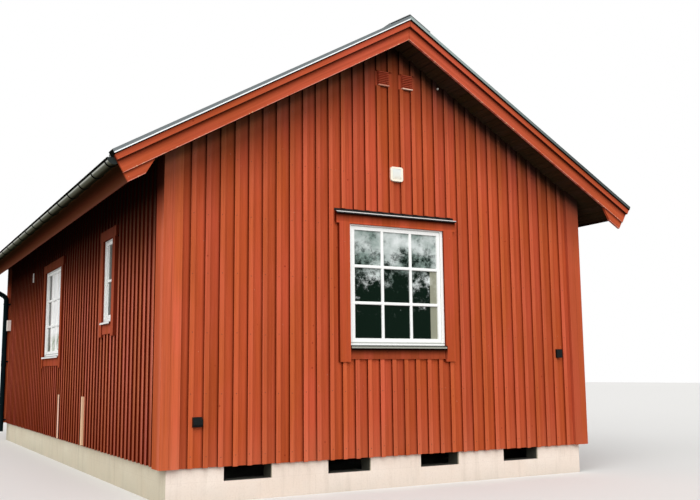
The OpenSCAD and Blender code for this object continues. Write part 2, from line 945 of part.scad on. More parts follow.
module window_flashings() {
    color("#6d7274") {
        on_front() {
            head_cover(-gable_shift, big_w);
            sill_cover(-gable_shift, big_w, big_h);
        }
        on_rear() {
            head_cover(-gable_shift, big_w);
            sill_cover(-gable_shift, big_w, big_h);
        }
        on_left() {
            sill_cover(on_left_x(small_y), small_w, small_h);
            sill_cover(on_left_x(side_y), big_w, big_h);
        }
        on_right() {
            sill_cover(on_right_x(small_y), small_w, small_h);
            sill_cover(on_right_x(side_y), big_w, big_h);
        }
    }
}

// A frame on three sides and a threshold, with a stop behind the door
module door_frame() {
    in_w = door_w - 2 * jamb_w;
    in_h = door_h - jamb_w - sill_h;
    color("#8a3c2a") on_right() translate([on_right_x(door_y), jamb_d, door_foot])
        rotate([90, 0, 0]) difference() {
            linear_extrude(jamb_d)
                translate([-door_w / 2, 0]) square([door_w, door_h]);
            translate([0, 0, jamb_d - door_t])
                linear_extrude(door_t + cut)
                    translate([-in_w / 2, sill_h]) square([in_w, in_h]);
            translate([0, 0, -cut])
                linear_extrude(jamb_d)
                    translate([stop_w - in_w / 2, sill_h]) square([in_w - 2 * stop_w, in_h - stop_w]);
        }
}

module door() {
    leaf_w = door_w - 2 * (jamb_w + door_gap);
    leaf_h = door_h - jamb_w - sill_h - 2 * door_gap;
    knob_d = 45;
    knob_z = 1000;
    color("#8a3c2a") on_right() translate([on_right_x(door_y), 0, door_foot + sill_h + door_gap]) {
        translate([-leaf_w / 2, 0, 0]) cube([leaf_w, door_t - seat, leaf_h]);
        translate([1.5 * knob_d - leaf_w / 2, 0, knob_z]) rotate([90, 0, 0])
            cylinder(d = knob_d, h = knob_d);
    }
}

// Wall fittings

module louvre() {
    face = 12;
    hole_h = louvre_h - 2 * face;
    slat_pitch = hole_h / slat_count;
    translate([0, 0, louvre_h]) ring(louvre_w, louvre_h, face, -louvre_out, 0);
    for (i = [0:slat_count - 1])
        translate([face - louvre_w / 2, 0, face + i * slat_pitch])
            rotate([90, 0, 90])
                linear_extrude(louvre_w - 2 * face)
                    polygon([[-louvre_out + face / 2, 0], [-louvre_out + face, 0],
                        [0, slat_pitch * 0.9], [-face / 2, slat_pitch * 0.9]]);
}

module gable_vents() {
    for (side = [-1, 1])
        translate([side * louvre_pitch / 2, 0, louvre_z]) louvre();
}

module gable_vents_front() {
    color("#9c3f2b") on_front() gable_vents();
}

module gable_vents_rear() {
    color("#9c3f2b") on_rear() gable_vents();
}

// A shallow cover with rounded corners and a sunk face, hollow behind and slotted along its foot
module vent_hood() {
    sunk = 3;
    color("ivory") on_front() translate([-gable_shift, 0, hood_z]) rotate([90, 0, 0])
        difference() {
            linear_extrude(hood_d) hood_outline(0);
            translate([0, 0, -cut])
                linear_extrude(hood_d - sunk - hood_t + cut) hood_outline(hood_t);
            translate([0, 0, hood_d - sunk]) linear_extrude(sunk + cut) hood_outline(hood_rim);
            translate([-hood_w / 2 + hood_r, -cut, hood_d * 0.3])
                cube([hood_w - 2 * hood_r, hood_t + 2 * cut, hood_d * 0.4]);
        }
}

module hood_outline(inset) {
    r = max(hood_r - inset, 2);
    half = hood_w / 2 - inset;
    translate([r - half, inset]) square([2 * (half - r), hood_h - 2 * inset]);
    translate([-half, inset + r]) square([2 * half, hood_h - 2 * (inset + r)]);
    for (side = [-1, 1], z = [inset + r, hood_h - inset - r])
        translate([side * (half - r), z]) circle(r);
}

// A square socket with a lid that slopes outwards
module outdoor_socket() {
    color("#202224") on_front() translate([socket_x - half_w - socket_w / 2, 0, socket_z])
        rotate([90, 0, 90])
            linear_extrude(socket_w)
                polygon([[0, 0], [-socket_d * 0.7, 0], [-socket_d, socket_w * 0.25],
                    [-socket_d, socket_w * 0.6], [-socket_d * 0.6, socket_w], [0, socket_w]]);
}

module box_lamp() {
    color("#202224") on_front() translate([half_w - lamp_x - lamp_w / 2, -lamp_d, lamp_z])
        cube([lamp_w, lamp_d, lamp_h]);
}

plinth_front();
plinth_rear();
plinth_left();
plinth_right();
floor();
front_wall();
rear_wall();
left_wall();
right_wall();
corner_boards_front();
corner_boards_rear();
roof_left();
roof_right();
roof_sheet_left();
roof_sheet_right();
ridge_cap();
lower_bargeboards_front();
lower_bargeboards_rear();
upper_bargeboards_front();
upper_bargeboards_rear();
foot_boards_front();
foot_boards_rear();
verge_strip_front();
verge_strip_rear();
fascia_left();
fascia_right();
gutter();
gutter_hooks();
swan_neck();
downpipe();
pipe_clamps();
window_front();
window_rear();
windows_left();
windows_right();
window_glass();
casings_front();
casings_rear();
casings_left();
casings_right();
window_flashings();
door_frame();
door();
gable_vents_front();
gable_vents_rear();
vent_hood();
outdoor_socket();
box_lamp();
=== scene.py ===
import math
import bpy
import bmesh
import numpy as np
from mathutils import Matrix, Vector


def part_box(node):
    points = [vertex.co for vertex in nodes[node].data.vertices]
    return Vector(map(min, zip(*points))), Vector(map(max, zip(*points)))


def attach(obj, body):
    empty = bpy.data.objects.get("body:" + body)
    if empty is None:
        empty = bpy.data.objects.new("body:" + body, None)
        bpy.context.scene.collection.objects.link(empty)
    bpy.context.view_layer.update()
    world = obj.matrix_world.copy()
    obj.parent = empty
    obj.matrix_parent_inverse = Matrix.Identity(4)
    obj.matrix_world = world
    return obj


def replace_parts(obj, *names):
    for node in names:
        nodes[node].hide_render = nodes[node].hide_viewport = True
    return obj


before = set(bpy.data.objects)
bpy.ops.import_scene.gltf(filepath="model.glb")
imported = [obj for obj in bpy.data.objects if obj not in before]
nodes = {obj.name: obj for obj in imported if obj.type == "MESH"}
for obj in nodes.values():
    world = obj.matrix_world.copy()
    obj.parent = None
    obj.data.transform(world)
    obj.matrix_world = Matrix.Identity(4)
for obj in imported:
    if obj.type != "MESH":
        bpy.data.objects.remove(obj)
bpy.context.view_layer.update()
rng = np.random.default_rng(41)
print("frame loaded:", len(nodes), "nodes")


# The house's own lines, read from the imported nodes

def corners(node):
    return tuple(np.array(corner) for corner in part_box(node))


def looseBoxes(node):
    # Boxes round a node's separate solids: points that share a place are merged, and the lowest
    # label spreads over the triangles until nothing changes
    mesh = nodes[node].data
    points = np.empty(len(mesh.vertices) * 3, np.float32)
    mesh.vertices.foreach_get("co", points)
    mesh.calc_loop_triangles()
    tris = np.empty(len(mesh.loop_triangles) * 3, np.int32)
    mesh.loop_triangles.foreach_get("vertices", tris)
    places, same = np.unique(np.round(points.reshape(-1, 3), 5), axis=0, return_inverse=True)
    tris = same.reshape(-1)[tris].reshape(-1, 3)
    label = np.arange(len(places))
    while True:
        lowest = label[tris].min(axis=1)
        spread = label.copy()
        np.minimum.at(spread, tris.ravel(), np.repeat(lowest, 3))
        if (spread == label).all():
            break
        label = spread
    return [(places[label == one].min(0), places[label == one].max(0)) for one in np.unique(label)]


wallLow, wallHigh = corners("front_wall")
midX = (wallLow[0] + wallHigh[0]) / 2
halfWidth = (wallHigh[0] - wallLow[0]) / 2
leftX, rightX = midX - halfWidth, midX + halfWidth
frontY = wallLow[1]
rearY = corners("rear_wall")[1][1]
midY = (frontY + rearY) / 2
halfLength = (rearY - frontY) / 2
boardFoot = wallLow[2]
ridgeZ = wallHigh[2]
slabLow, slabHigh = corners("roof_right")
sideWallTop = corners("left_wall")[1][2]
wallThick = wallHigh[1] - wallLow[1]
pitch = math.atan((ridgeZ - sideWallTop) / (halfWidth - wallThick))
slope, sinPitch, cosPitch = math.tan(pitch), math.sin(pitch), math.cos(pitch)
slabThick = (slabHigh[2] - ridgeZ) * cosPitch
slabEdge = (slabHigh[0] - midX - slabThick * sinPitch) / cosPitch  # down the slope from the ridge
vergeTop = (corners("verge_strip_front")[1][2] - ridgeZ) * cosPitch  # square to the slope
walls = {"front": (0, frontY, -1), "rear": (0, rearY, 1),  # the axis along each wall, its plane
         "left": (1, leftX, -1), "right": (1, rightX, 1)}  # and the way that it faces
hair = 0.001  # a gap or lap that keeps two faces out of one plane


def undersideZ(x):
    # Height of the roof's underside: the ridge less the distance from it times the slope
    return ridgeZ - np.abs(x - midX) * slope


def onSlope(side, down, up):
    # x and z of a place down a slope from the ridge and up square to it; side is -1 or 1
    return (midX + side * (down * cosPitch + up * sinPitch),
            ridgeZ - down * sinPitch + up * cosPitch)


# Meshes from arrays

def addPiece(name, points, faces, finish, slot, second=None, chosenFaces=None):
    # second is another finish, for the faces with the numbers in chosenFaces
    mesh = bpy.data.meshes.new(name)
    mesh.from_pydata(points, [], faces)
    mesh.update()
    work = bmesh.new()
    work.from_mesh(mesh)
    bmesh.ops.recalc_face_normals(work, faces=work.faces)
    work.to_mesh(mesh)
    work.free()
    mesh.materials.append(finish)
    if second is not None:
        mesh.materials.append(second)
        which = np.zeros(len(mesh.polygons), np.int32)
        which[chosenFaces] = 1
        mesh.polygons.foreach_set("material_index", which)
    piece = bpy.data.objects.new(name, mesh)
    bpy.context.scene.collection.objects.link(piece)
    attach(piece, "root")
    return piece


def prisms(rings):
    # rings has the shape (pieces, rings, points, 3): each piece is a row of rings with a skin
    # between them, point i to point i + 1, and a flat face over its first and last ring
    pieces, rows, around = rings.shape[:3]
    base = (np.arange(pieces) * rows * around)[:, None, None]
    row = (np.arange(rows - 1) * around)[None, :, None]
    i = np.arange(around)[None, None, :]
    j = (i + 1) % around
    quads = np.stack([base + row + i, base + row + j, base + row + around + j,
                      base + row + around + i], axis=-1).reshape(-1, 4)
    ends = np.concatenate([base[:, 0] + np.arange(around)[::-1],
                           base[:, 0] + (rows - 1) * around + np.arange(around)])
    return rings.reshape(-1, 3), quads.tolist() + ends.tolist()


def lengths(section, plane, starts, stops):
    # Straight lengths of one section. Each point of the section has its places along the plane's
    # two axes, as numbers or with one value for each length, and the lengths run from starts to
    # stops along the third axis
    starts, stops = np.atleast_1d(starts), np.atleast_1d(stops)
    rings = np.empty((len(starts), 2, len(section), 3))
    for k, point in enumerate(section):
        for axis, place in zip(plane, point):
            rings[:, :, k, axis] = np.reshape(place, (-1, 1))
    along = 3 - sum(plane)
    rings[:, 0, :, along] = starts[:, None]
    rings[:, 1, :, along] = stops[:, None]
    return prisms(rings)


def joined(parts):
    # Several (points, faces) pairs as one
    points, faces, start = [], [], 0
    for some, these in parts:
        points.append(some)
        faces += [[start + i for i in face] for face in these]
        start += len(some)
    return np.concatenate(points), faces


def chamfered(a0, a1, near, far, cut, sign=1):
    # A flat board's section from a0 to a1, from near out to far, with its two outer edges cut
    return [(a0, near), (a0, far - sign * cut), (a0 + cut, far),
            (a1 - cut, far), (a1, far - sign * cut), (a1, near)]


def bars(lows, highs, chamfer, out):
    # Square-cut lengths with two chamfered edges on the side that faces out. lows and highs are
    # (n, 3) corners, the length runs along the longest side, out is an axis and a sign
    lows, highs = np.atleast_2d(lows), np.atleast_2d(highs)
    axis, sign = out
    along = int(np.argmax((highs - lows).mean(0)))
    across = 3 - along - axis
    near = np.where(sign > 0, lows[:, axis], highs[:, axis])
    far = np.where(sign > 0, highs[:, axis], lows[:, axis])
    section = chamfered(lows[:, across], highs[:, across], near, far, chamfer, sign)
    return lengths(section, (across, axis), lows[:, along], highs[:, along])


def studs(centres, outward, radius, height, sides=6):
    # Low domes: a ring of points round each centre, a smaller ring above it and a flat top
    sunk, narrow = 0.2, 0.6  # the first ring's depth and the second's radius, as shares
    outward = np.asarray(outward, float)
    side = np.cross(outward, (0.31, 0.52, 0.79))  # any way that isn't outward
    side /= np.linalg.norm(side)
    other = np.cross(outward, side)
    turn = np.arange(sides) * 2 * math.pi / sides
    ring = np.cos(turn)[:, None] * side + np.sin(turn)[:, None] * other
    rings = np.stack([centres[:, None] + ring * radius - outward * height * sunk,
                      centres[:, None] + ring * radius * narrow + outward * height], axis=1)
    return prisms(rings)


# Shader maths

class Sock:
    # A socket whose sums, products and comparisons add Math nodes

    def __init__(self, finish, socket):
        self.finish, self.socket = finish, socket

    def maths(self, operation, *others):
        return self.finish.node("ShaderNodeMath", {"operation": operation},
                                dict(enumerate((self,) + others)))

    def __add__(self, other): return self.maths("ADD", other)
    def __radd__(self, other): return self.maths("ADD", other)
    def __sub__(self, other): return self.maths("SUBTRACT", other)
    def __rsub__(self, other): return self.finish.value(other).maths("SUBTRACT", self)
    def __mul__(self, other): return self.maths("MULTIPLY", other)
    def __rmul__(self, other): return self.maths("MULTIPLY", other)
    def __truediv__(self, other): return self.maths("DIVIDE", other)
    def __gt__(self, other): return self.maths("GREATER_THAN", other)
    def __lt__(self, other): return self.maths("LESS_THAN", other)
    def __mod__(self, other): return self.maths("FLOORED_MODULO", other)
    def __pow__(self, other): return self.maths("POWER", other)
    def __abs__(self): return self.maths("ABSOLUTE")
    def floor(self): return self.maths("FLOOR")
    def highest(self, other): return self.maths("MAXIMUM", other)
    def lowest(self, other): return self.maths("MINIMUM", other)

    def between(self, low, high):
        # 0 at low, 1 at high, straight in between
        return self.finish.node("ShaderNodeMapRange", {"clamp": True},
                                {"Value": self, "From Min": low, "From Max": high})

    def part(self, name):
        return Sock(self.finish, self.socket.node.outputs[name])


class Finish:
    # One material: its shader's fixed sockets are set by name, and the rest is linked afterwards

    def __init__(self, name, **fixed):
        self.material = bpy.data.materials.new(name)
        self.material.use_nodes = True
        self.tree = self.material.node_tree
        self.shader = self.tree.nodes["Principled BSDF"]
        for socket, value in fixed.items():
            self.shader.inputs[socket.replace("_", " ")].default_value = value
        self.place = self.node("ShaderNodeTexCoord", {}, {}).part("Object")
        split = self.node("ShaderNodeSeparateXYZ", {}, {0: self.place})
        self.x, self.y, self.z = (split.part(axis) for axis in "XYZ")

    def node(self, kind, settings, inputs):
        made = self.tree.nodes.new(kind)
        for key, value in settings.items():
            if key == "stops":
                ramp = made.color_ramp
                while len(ramp.elements) < len(value):
                    ramp.elements.new(0.5)
                for element, (position, colour) in zip(ramp.elements, value):
                    element.position, element.color = position, (*colour, 1)
            else:
                setattr(made, key, value)
        for key, value in inputs.items():
            socket = made.inputs[key]
            if isinstance(value, Sock):
                self.tree.links.new(value.socket, socket)
            elif hasattr(socket.default_value, "__len__") and len(socket.default_value) == 4:
                socket.default_value = (*value[:3], 1)
            else:
                socket.default_value = value
        return Sock(self, next(out for out in made.outputs if out.enabled))

    def value(self, number):
        return self.node("ShaderNodeMath", {"operation": "ADD"}, {0: number, 1: 0.0})

    def vector(self, x, y, z):
        return self.node("ShaderNodeCombineXYZ", {}, {0: x, 1: y, 2: z})

    def noise(self, where, scale, detail=3.0, rough=0.55):
        return self.node("ShaderNodeTexNoise", {}, {"Vector": where, "Scale": scale,
                                                    "Detail": detail, "Roughness": rough})

    def stretched(self, x, y, z, detail, rough):
        # A noise whose pace along each axis is given
        return self.noise(self.vector(self.x * x, self.y * y, self.z * z), 1.0, detail, rough)

    def chance(self, where):
        # A number from 0 to 1 that is the same all over one cell
        return self.node("ShaderNodeTexWhiteNoise", {"noise_dimensions": "3D"}, {"Vector": where})

    def mix(self, amount, one, two, blend="MIX"):
        return self.node("ShaderNodeMix", {"data_type": "RGBA", "blend_type": blend},
                         {0: amount, 6: one, 7: two})

    def tinted(self, base, tint):
        # base times a tint, channel by channel
        return self.mix(1.0, base, tint, "MULTIPLY")

    def ramp(self, value, stops):
        return self.node("ShaderNodeValToRGB", {"stops": stops}, {0: value})

    def link(self, **outputs):
        for socket, value in outputs.items():
            self.tree.links.new(value.socket, self.shader.inputs[socket.replace("_", " ")])

    def bump(self, height, distance, strength=1.0):
        self.link(Normal=self.node("ShaderNodeBump", {}, {"Height": height, "Distance": distance,
                                                          "Strength": strength}))


def shade(colour, factor):
    # A colour times one number, or channel by channel times three
    return tuple(np.multiply(colour, factor).tolist())


def greys(*stops):
    # Stops of a grey ramp from (place, tone) pairs
    return tuple((place, (tone,) * 3) for place, tone in stops)


# Directions on the building, as shader expressions

rightwards = (-0.5, 2.4)  # from the middle: where the gable's shade starts to ease, and ends


def upright(finish): return finish.z
def acrossGable(finish): return finish.x
def acrossSide(finish): return finish.y
def asideX(finish): return abs(finish.x - midX)
def asideY(finish): return abs(finish.y - midY)
def alongRake(finish): return asideX(finish) * cosPitch + (ridgeZ - finish.z) * sinPitch
def upRake(finish): return asideX(finish) * sinPitch - (ridgeZ - finish.z) * cosPitch
def towardsRight(finish): return (finish.x - midX).between(*rightwards)


def facing(finish, axis):
    # 1 where a surface faces along an axis, either way
    normal = finish.node("ShaderNodeNewGeometry", {}, {}).part("Normal")
    return abs(finish.node("ShaderNodeSeparateXYZ", {}, {0: normal}).part(axis)) > 0.7


gableWays = (upright, acrossGable, acrossSide)  # along the grain, over the boards, through them
sideWays = (upright, acrossSide, acrossGable)
rakeWays = (alongRake, upRake, acrossSide)

# Sizes that the finishes and the battens share
casings = {"width": 0.115, "wider": 0.011, "frame": 0.073, "head": 0.103, "cover": 0.042,
           "apron": 0.146, "down": 0.175, "headOver": 0.038, "doorHead": 0.120, "inset": 0.004,
           "large": 0.7}
battens = {"module": 0.15, "gableModule": 0.1504, "width": 0.050, "depth": 0.022,
           "chamfer": 0.003, "gableFirst": 0.219, "sideFirst": 0.206, "sideEnd": 0.03,
           "wander": 0.0016, "foot": 0.005}
cornerBoards = {"width": 0.189, "sideWidth": 0.235, "arris": 0.004}
panes = looseBoxes("window_glass")
paneLow = min(low[2] for low, high in panes)
paneHigh = max(high[2] for low, high in panes)
sillZ = paneLow - casings["frame"]
sillHalf = max(high[0] - low[0] for low, high in panes) / 2 + casings["frame"] + 0.010
headBoardTop = corners("casings_front")[1][2]


def onWall(boxes, axis, place):
    # The boxes whose middle lies near a wall's plane
    reach = 0.4
    return [box for box in boxes if abs((box[0][1 - axis] + box[1][1 - axis]) / 2 - place) < reach]


# Paint on boards. Each noise is drawn out along the boards: its pace along and across them, its
# detail and roughness, and how far it shifts from board to board. A coat shows where its noise
# lies between two values, by an amount, in a multiple of the paint's own colour
woodNoise = {"grain": (1.3, 60.0, 6.0, 0.65, 9.0), "fibre": (9.0, 300.0, 2.0, 0.5, 0.0),
             "cloud": (0.8, 2.5, 3.0, 0.5, 30.0), "streak": (0.45, 17.0, 3.0, 0.6, 0.0)}
woodCoats = (("streak", 0.50, 0.72, 0.42, 0.60), ("grain", 0.52, 0.72, 0.50, 0.60),
             ("grain", 0.46, 0.30, 0.34, (1.30, 1.60, 2.0)))
# Some keys below paint light just past each batten and shade in the corner before it
woodLook = {"yellower": (1.0, 1.06, 0.84), "pinker": (1.03, 1.01, 1.22), "boardTone": 0.20,
            "lighter": 0.8, "worn": (0.60, 0.22, 0.11), "wornShare": 0.22,
            "knots": 7.0, "knotRadius": 0.011, "knotRare": 0.66, "knotShare": 0.70,
            "knotTint": (0.45, 0.20, 0.2), "specks": 26.0, "speckRare": 0.86, "speckShare": 0.75,
            "speck": (0.72, 0.52, 0.40), "litStrip": 0.022, "litShare": 0.45,
            "litTint": (1.6, 1.7, 1.8), "corner": 0.026, "cornerCurve": 1.5,
            "cornerShare": 0.80, "lessOnRight": 0.38, "splash": 0.42, "splashHigh": 0.42,
            "splashTint": (1.12, 1.9, 2.3), "rough": 0.66, "relief": 0.0014}
wallRed = (0.490, 0.081, 0.030)
# The long walls' red: the wall red with a painted sheen added, paler and pinker
sheenRed = (0.580, 0.128, 0.058)
trimRed = (0.470, 0.083, 0.034)
# Near-black red for painted shade in corners and on the sides of boards
shadeRed = (0.085, 0.006, 0.0006)
# Near-black red for the battens' sides: painted shade
edgeShadeRed = (0.090, 0.006, 0.0006)


def paintedWood(name, colour, ways, module=0.15, start=0.0, soiled=True, then=None,
                battenLeft=None):
    # Matt paint over sawn boards. module and start place the boards, which differ a little in
    # tone. battenLeft is the left edge of the first batten on them: painted shade darkens the
    # corner before each batten, and a painted light strip just past it offsets its cast shadow
    finish = Finish(name, Specular_IOR_Level=0.0)
    run, over, deep = (way(finish) for way in ways)
    board = ((over - start) / module).floor()
    seed = finish.chance(finish.vector(board, deep.maths("SNAP", 5.0), 3.0))
    drawn = {}
    for layer, (pace, wide, detail, rough, shift) in woodNoise.items():
        down = run * pace + seed * shift if shift else run * pace
        drawn[layer] = finish.noise(finish.vector(down, over * wide, deep * wide), 1.0, detail,
                                    rough)
    grain, fibre, cloud = drawn["grain"], drawn["fibre"], drawn["cloud"]

    def marks(scale, inner, outer, rare):
        # Round marks in a few cells of a pattern
        cells = finish.node("ShaderNodeTexVoronoi", {"feature": "F1"},
                            {"Vector": finish.vector(run, over, deep), "Scale": scale})
        return (1.0 - cells.between(inner, outer)) * (cells.part("Color") > rare)

    radius = woodLook["knotRadius"] * woodLook["knots"]
    knot = marks(woodLook["knots"], radius * 0.5, radius, woodLook["knotRare"])
    speck = marks(woodLook["specks"], 0.04, 0.09, woodLook["speckRare"])
    tone = woodLook["boardTone"]
    base = finish.mix(cloud.between(0.35, 0.65), shade(colour, woodLook["yellower"]),
                      shade(colour, woodLook["pinker"]))
    base = finish.tinted(base, finish.mix(seed * 0.5 + cloud.between(0.3, 0.7) * 0.5,
                                          (1 - tone,) * 3, (1 + tone * woodLook["lighter"],) * 3))
    for layer, low, high, amount, tint in woodCoats:
        base = finish.mix(drawn[layer].between(low, high) * amount, base, shade(colour, tint))
    base = finish.mix(fibre.between(0.60, 0.82) * woodLook["wornShare"], base, woodLook["worn"])
    base = finish.mix(knot * woodLook["knotShare"], base, shade(colour, woodLook["knotTint"]))
    base = finish.mix(speck * woodLook["speckShare"], base, woodLook["speck"])
    # Painted shade before each batten, and painted light where its shadow falls just past it
    if battenLeft is not None:
        place = (over - battenLeft) % module
        past = 1.0 - (place - battens["width"]).between(0.0, woodLook["litStrip"])
        base = finish.mix(past * woodLook["litShare"], base, shade(colour, woodLook["litTint"]))
        near = 1.0 - (module - place).between(0.0, woodLook["corner"])
        share = woodLook["cornerShare"] - towardsRight(finish) * woodLook["lessOnRight"]
        base = finish.mix(near ** woodLook["cornerCurve"] * share, base, shadeRed)
    if soiled:
        # Rain splash: the foot of the boards is paler and greyer
        low = 1.0 - (finish.z - boardFoot).between(0.0, woodLook["splashHigh"])
        base = finish.mix(low * cloud.between(0.35, 0.75) * woodLook["splash"], base,
                          shade(colour, woodLook["splashTint"]))
    if then is not None:
        base = then(finish, base)
    finish.link(Base_Color=base, Roughness=grain.between(0.2, 0.8) * 0.16 + woodLook["rough"])
    finish.bump(grain * 0.65 + fibre * 0.25 + knot * 0.4, woodLook["relief"], 0.8)
    return finish.material


liningLook = {"deep": 0.045, "colour": (0.60, 0.56, 0.49)}


def paleInside(finish, base):
    # The room's side of a wall is pale, with the sides of the openings behind the frames
    inX = asideX(finish) < halfWidth - liningLook["deep"]
    inY = asideY(finish) < halfLength - liningLook["deep"]
    return finish.mix(inX * inY, base, liningLook["colour"])


rakeLook = {"edge": 0.006, "worn": (0.74, 0.27, 0.20), "flake": (0.92, 0.62, 0.36),
            "footHigh": 0.005, "foot": (0.020, 0.003, 0.001), "curve": 1.6, "underShare": 0.80,
            "under": (0.050, 0.004, 0.0006), "lineHigh": 0.012, "line": (0.006, 0.003, 0.001),
            "seamHalf": 0.0025, "seamShare": 0.8, "seam": (0.06, 0.012, 0.006)}


def wornAndShadedEdge(low, top, deep, worn=0.85, foot=0.0, line=0.0):
    # A board along the rake: its lower edge is worn pale in patches or carries a painted shadow
    # line, painted shade darkens it under the edge above it, a painted shadow line can run along
    # its top, and the boards meet over the ridge in a line
    def edge(finish, base):
        high, width = upRake(finish), rakeLook["edge"]
        patch = finish.noise(finish.vector(finish.x * 9, finish.z * 9, 0.0), 1.0)
        base = finish.mix((high < low + width) * patch.between(0.30, 0.5) * worn, base,
                          rakeLook["worn"])
        flake = finish.noise(finish.vector(finish.x * 55, finish.z * 55, 0.0), 1.0, 2.0)
        base = finish.mix((high < low + width * 1.3) * flake.between(0.60, 0.66) * worn, base,
                          rakeLook["flake"])
        base = finish.mix((high < low + rakeLook["footHigh"]) * foot, base, rakeLook["foot"])
        under = 1.0 - (top - high).between(0.0, deep)
        base = finish.mix(under ** rakeLook["curve"] * rakeLook["underShare"], base,
                          rakeLook["under"])
        base = finish.mix((high > top - rakeLook["lineHigh"]) * line, base, rakeLook["line"])
        seam = asideX(finish) < rakeLook["seamHalf"]
        return finish.mix(seam * rakeLook["seamShare"], base, rakeLook["seam"])
    return edge


gableShade = {"reach": (0.06, 0.78), "blend": 0.8,
              "right": ((0.0, (0.055, 0.13, 0.22)), (0.055, (0.15, 0.25, 0.37)),
                        (0.11, (0.35, 0.46, 0.60)), (0.22, (0.56, 0.64, 0.74))),
              "left": ((0.0, (0.34, 0.60, 0.80)), (0.07, (0.56, 0.80, 0.98)),
                       (0.12, (0.60, 0.77, 0.96)), (0.20, (0.57, 0.68, 0.80))),
              "low": ((0.33, (0.66, 0.70, 0.77)), (0.50, (0.78, 0.79, 0.82)),
                      (0.75, (0.92, 0.95, 0.97)), (1.0, (1.0, 1.0, 1.0))),
              "sides": (0.280, 0.040, 0.012), "sideShare": 0.90}


def underVerge(finish, base):
    # Painted shade: the gable darkens towards the rake, and most of all close under the
    # right slope
    depth = (0.0 - upRake(finish)).between(*gableShade["reach"])
    right, left = (finish.ramp(depth, gableShade[side] + gableShade["low"])
                   for side in ("right", "left"))
    leftwards = (midX - finish.x).between(0.0, gableShade["blend"])
    return finish.tinted(base, finish.mix(leftwards, right, left))


def paleSides(finish, base):
    # The painted shade on the battens' sides eases towards the right of the gable
    return finish.mix(towardsRight(finish) * gableShade["sideShare"], base, gableShade["sides"])


def gableWall(finish, base):
    return paleInside(finish, underVerge(finish, base))


def gableEdges(finish, base):
    return underVerge(finish, paleSides(finish, base))


eavesShade = {"far": (-3.5, 1.5), "nearTint": (0.84, 0.77, 0.82), "farTint": (0.58, 0.43, 0.40),
              "foot": (0.35, 1.1), "footTint": (0.68, 0.60, 0.58), "reach": (2.0, 3.06),
              "stops": greys((0.0, 0.0), (0.19, 0.17), (0.38, 0.40), (0.57, 0.71), (0.71, 0.84),
                             (0.85, 0.90), (1.0, 0.97)),
              "dark": (0.018, 0.015, 0.010), "casing": 0.78}


def underEaves(finish, base):
    # Painted shade: the long walls darken towards the rear and upwards to black under the eaves,
    # and they are darker at the foot
    rear = (finish.y - midY).between(*eavesShade["far"])
    base = finish.tinted(base, finish.mix(rear, eavesShade["nearTint"], eavesShade["farTint"]))
    base = finish.tinted(base, finish.mix(finish.z.between(*eavesShade["foot"]),
                                          eavesShade["footTint"], (1.0, 1.0, 1.0)))
    dark = finish.ramp(finish.z.between(*eavesShade["reach"]), eavesShade["stops"])
    return finish.mix(dark, base, eavesShade["dark"])


def sideWall(finish, base):
    return paleInside(finish, underEaves(finish, base))


def eavesCasing(finish, base):
    # Casings on the long walls stand clear of the boards and take less of the painted shade under
    # the eaves
    return finish.mix(eavesShade["casing"], base, underEaves(finish, base))


fasciaLook = {"reach": (-0.105, 0.155), "share": 0.92, "inside": (0.030, 0.012, 0.006),
              "face": 0.006,
              "stops": ((0.0, (0.240, 0.088, 0.055)), (0.16, (0.165, 0.056, 0.026)),
                        (0.36, (0.096, 0.027, 0.013)), (0.56, (0.062, 0.028, 0.011)),
                        (0.78, (0.070, 0.043, 0.019)), (1.0, (0.042, 0.036, 0.016)))}


def behindGutter(finish, base):
    # Painted shade: the left fascia is black behind the gutter and lighter towards its lower edge,
    # and the right one is dark on its inner side
    dark = finish.ramp(upRake(finish).between(*fasciaLook["reach"]), fasciaLook["stops"])
    base = finish.mix((finish.x < midX) * fasciaLook["share"], base, dark)
    face = corners("fascia_right")[1][0] - fasciaLook["face"]
    return finish.mix((finish.x > midX) * (finish.x < face), base, fasciaLook["inside"])


cornerLook = {"edge": 0.06, "edgeShare": 0.5, "edgeColour": (0.78, 0.200, 0.110),
              "eaves": (2.55, 3.02), "curve": 1.3, "eavesShare": 0.9,
              "eavesColour": (0.030, 0.010, 0.006), "rightShare": 0.5,
              "right": (0.36, 0.060, 0.024), "sideShare": 0.85}


def cornerSides(finish, base):
    # Painted shade darkens a corner board's inner side, where it meets the wall boards, and its
    # face on the long wall under the eaves; that face has a painted highlight along the outer edge,
    # and the boards on the right are darker
    look = cornerLook
    outer = facing(finish, "X") * (asideX(finish) > halfWidth + 2 * hair)
    toEdge = halfLength - asideY(finish)
    pale = finish.mix((1.0 - toEdge.between(0.0, look["edge"])) * look["edgeShare"], base,
                      look["edgeColour"])
    pale = finish.mix(finish.z.between(*look["eaves"]) ** look["curve"] * look["eavesShare"],
                      pale, look["eavesColour"])
    right = finish.mix((finish.x > midX) * look["rightShare"], base, look["right"])
    base = finish.mix(outer, underVerge(finish, right), pale)
    arris = cornerBoards["arris"]
    gable = asideX(finish) < halfWidth - cornerBoards["width"] + arris
    side = asideY(finish) < halfLength - cornerBoards["sideWidth"] + arris
    return finish.mix(gable.highest(side) * look["sideShare"], base, shadeRed)


boardLook = {"sides": 0.82, "inset": 0.1, "headDeep": 0.102, "headReach": 0.10,
             "headStops": ((0.0, (0.01, 0.0, 0.0)), (0.14, (0.02, 0.01, 0.01)),
                           (0.26, (0.08, 0.07, 0.07)), (0.38, (0.20, 0.19, 0.18)),
                           (0.52, (0.42, 0.41, 0.40)), (0.70, (0.62, 0.61, 0.60)),
                           (1.0, (0.84, 0.80, 0.78))),
             "apronGap": 0.002, "apronShare": 0.50, "apron": (0.16, 0.034, 0.016),
             "black": (0.046, 0.112), "blackColour": (0.012, 0.004, 0.002)}


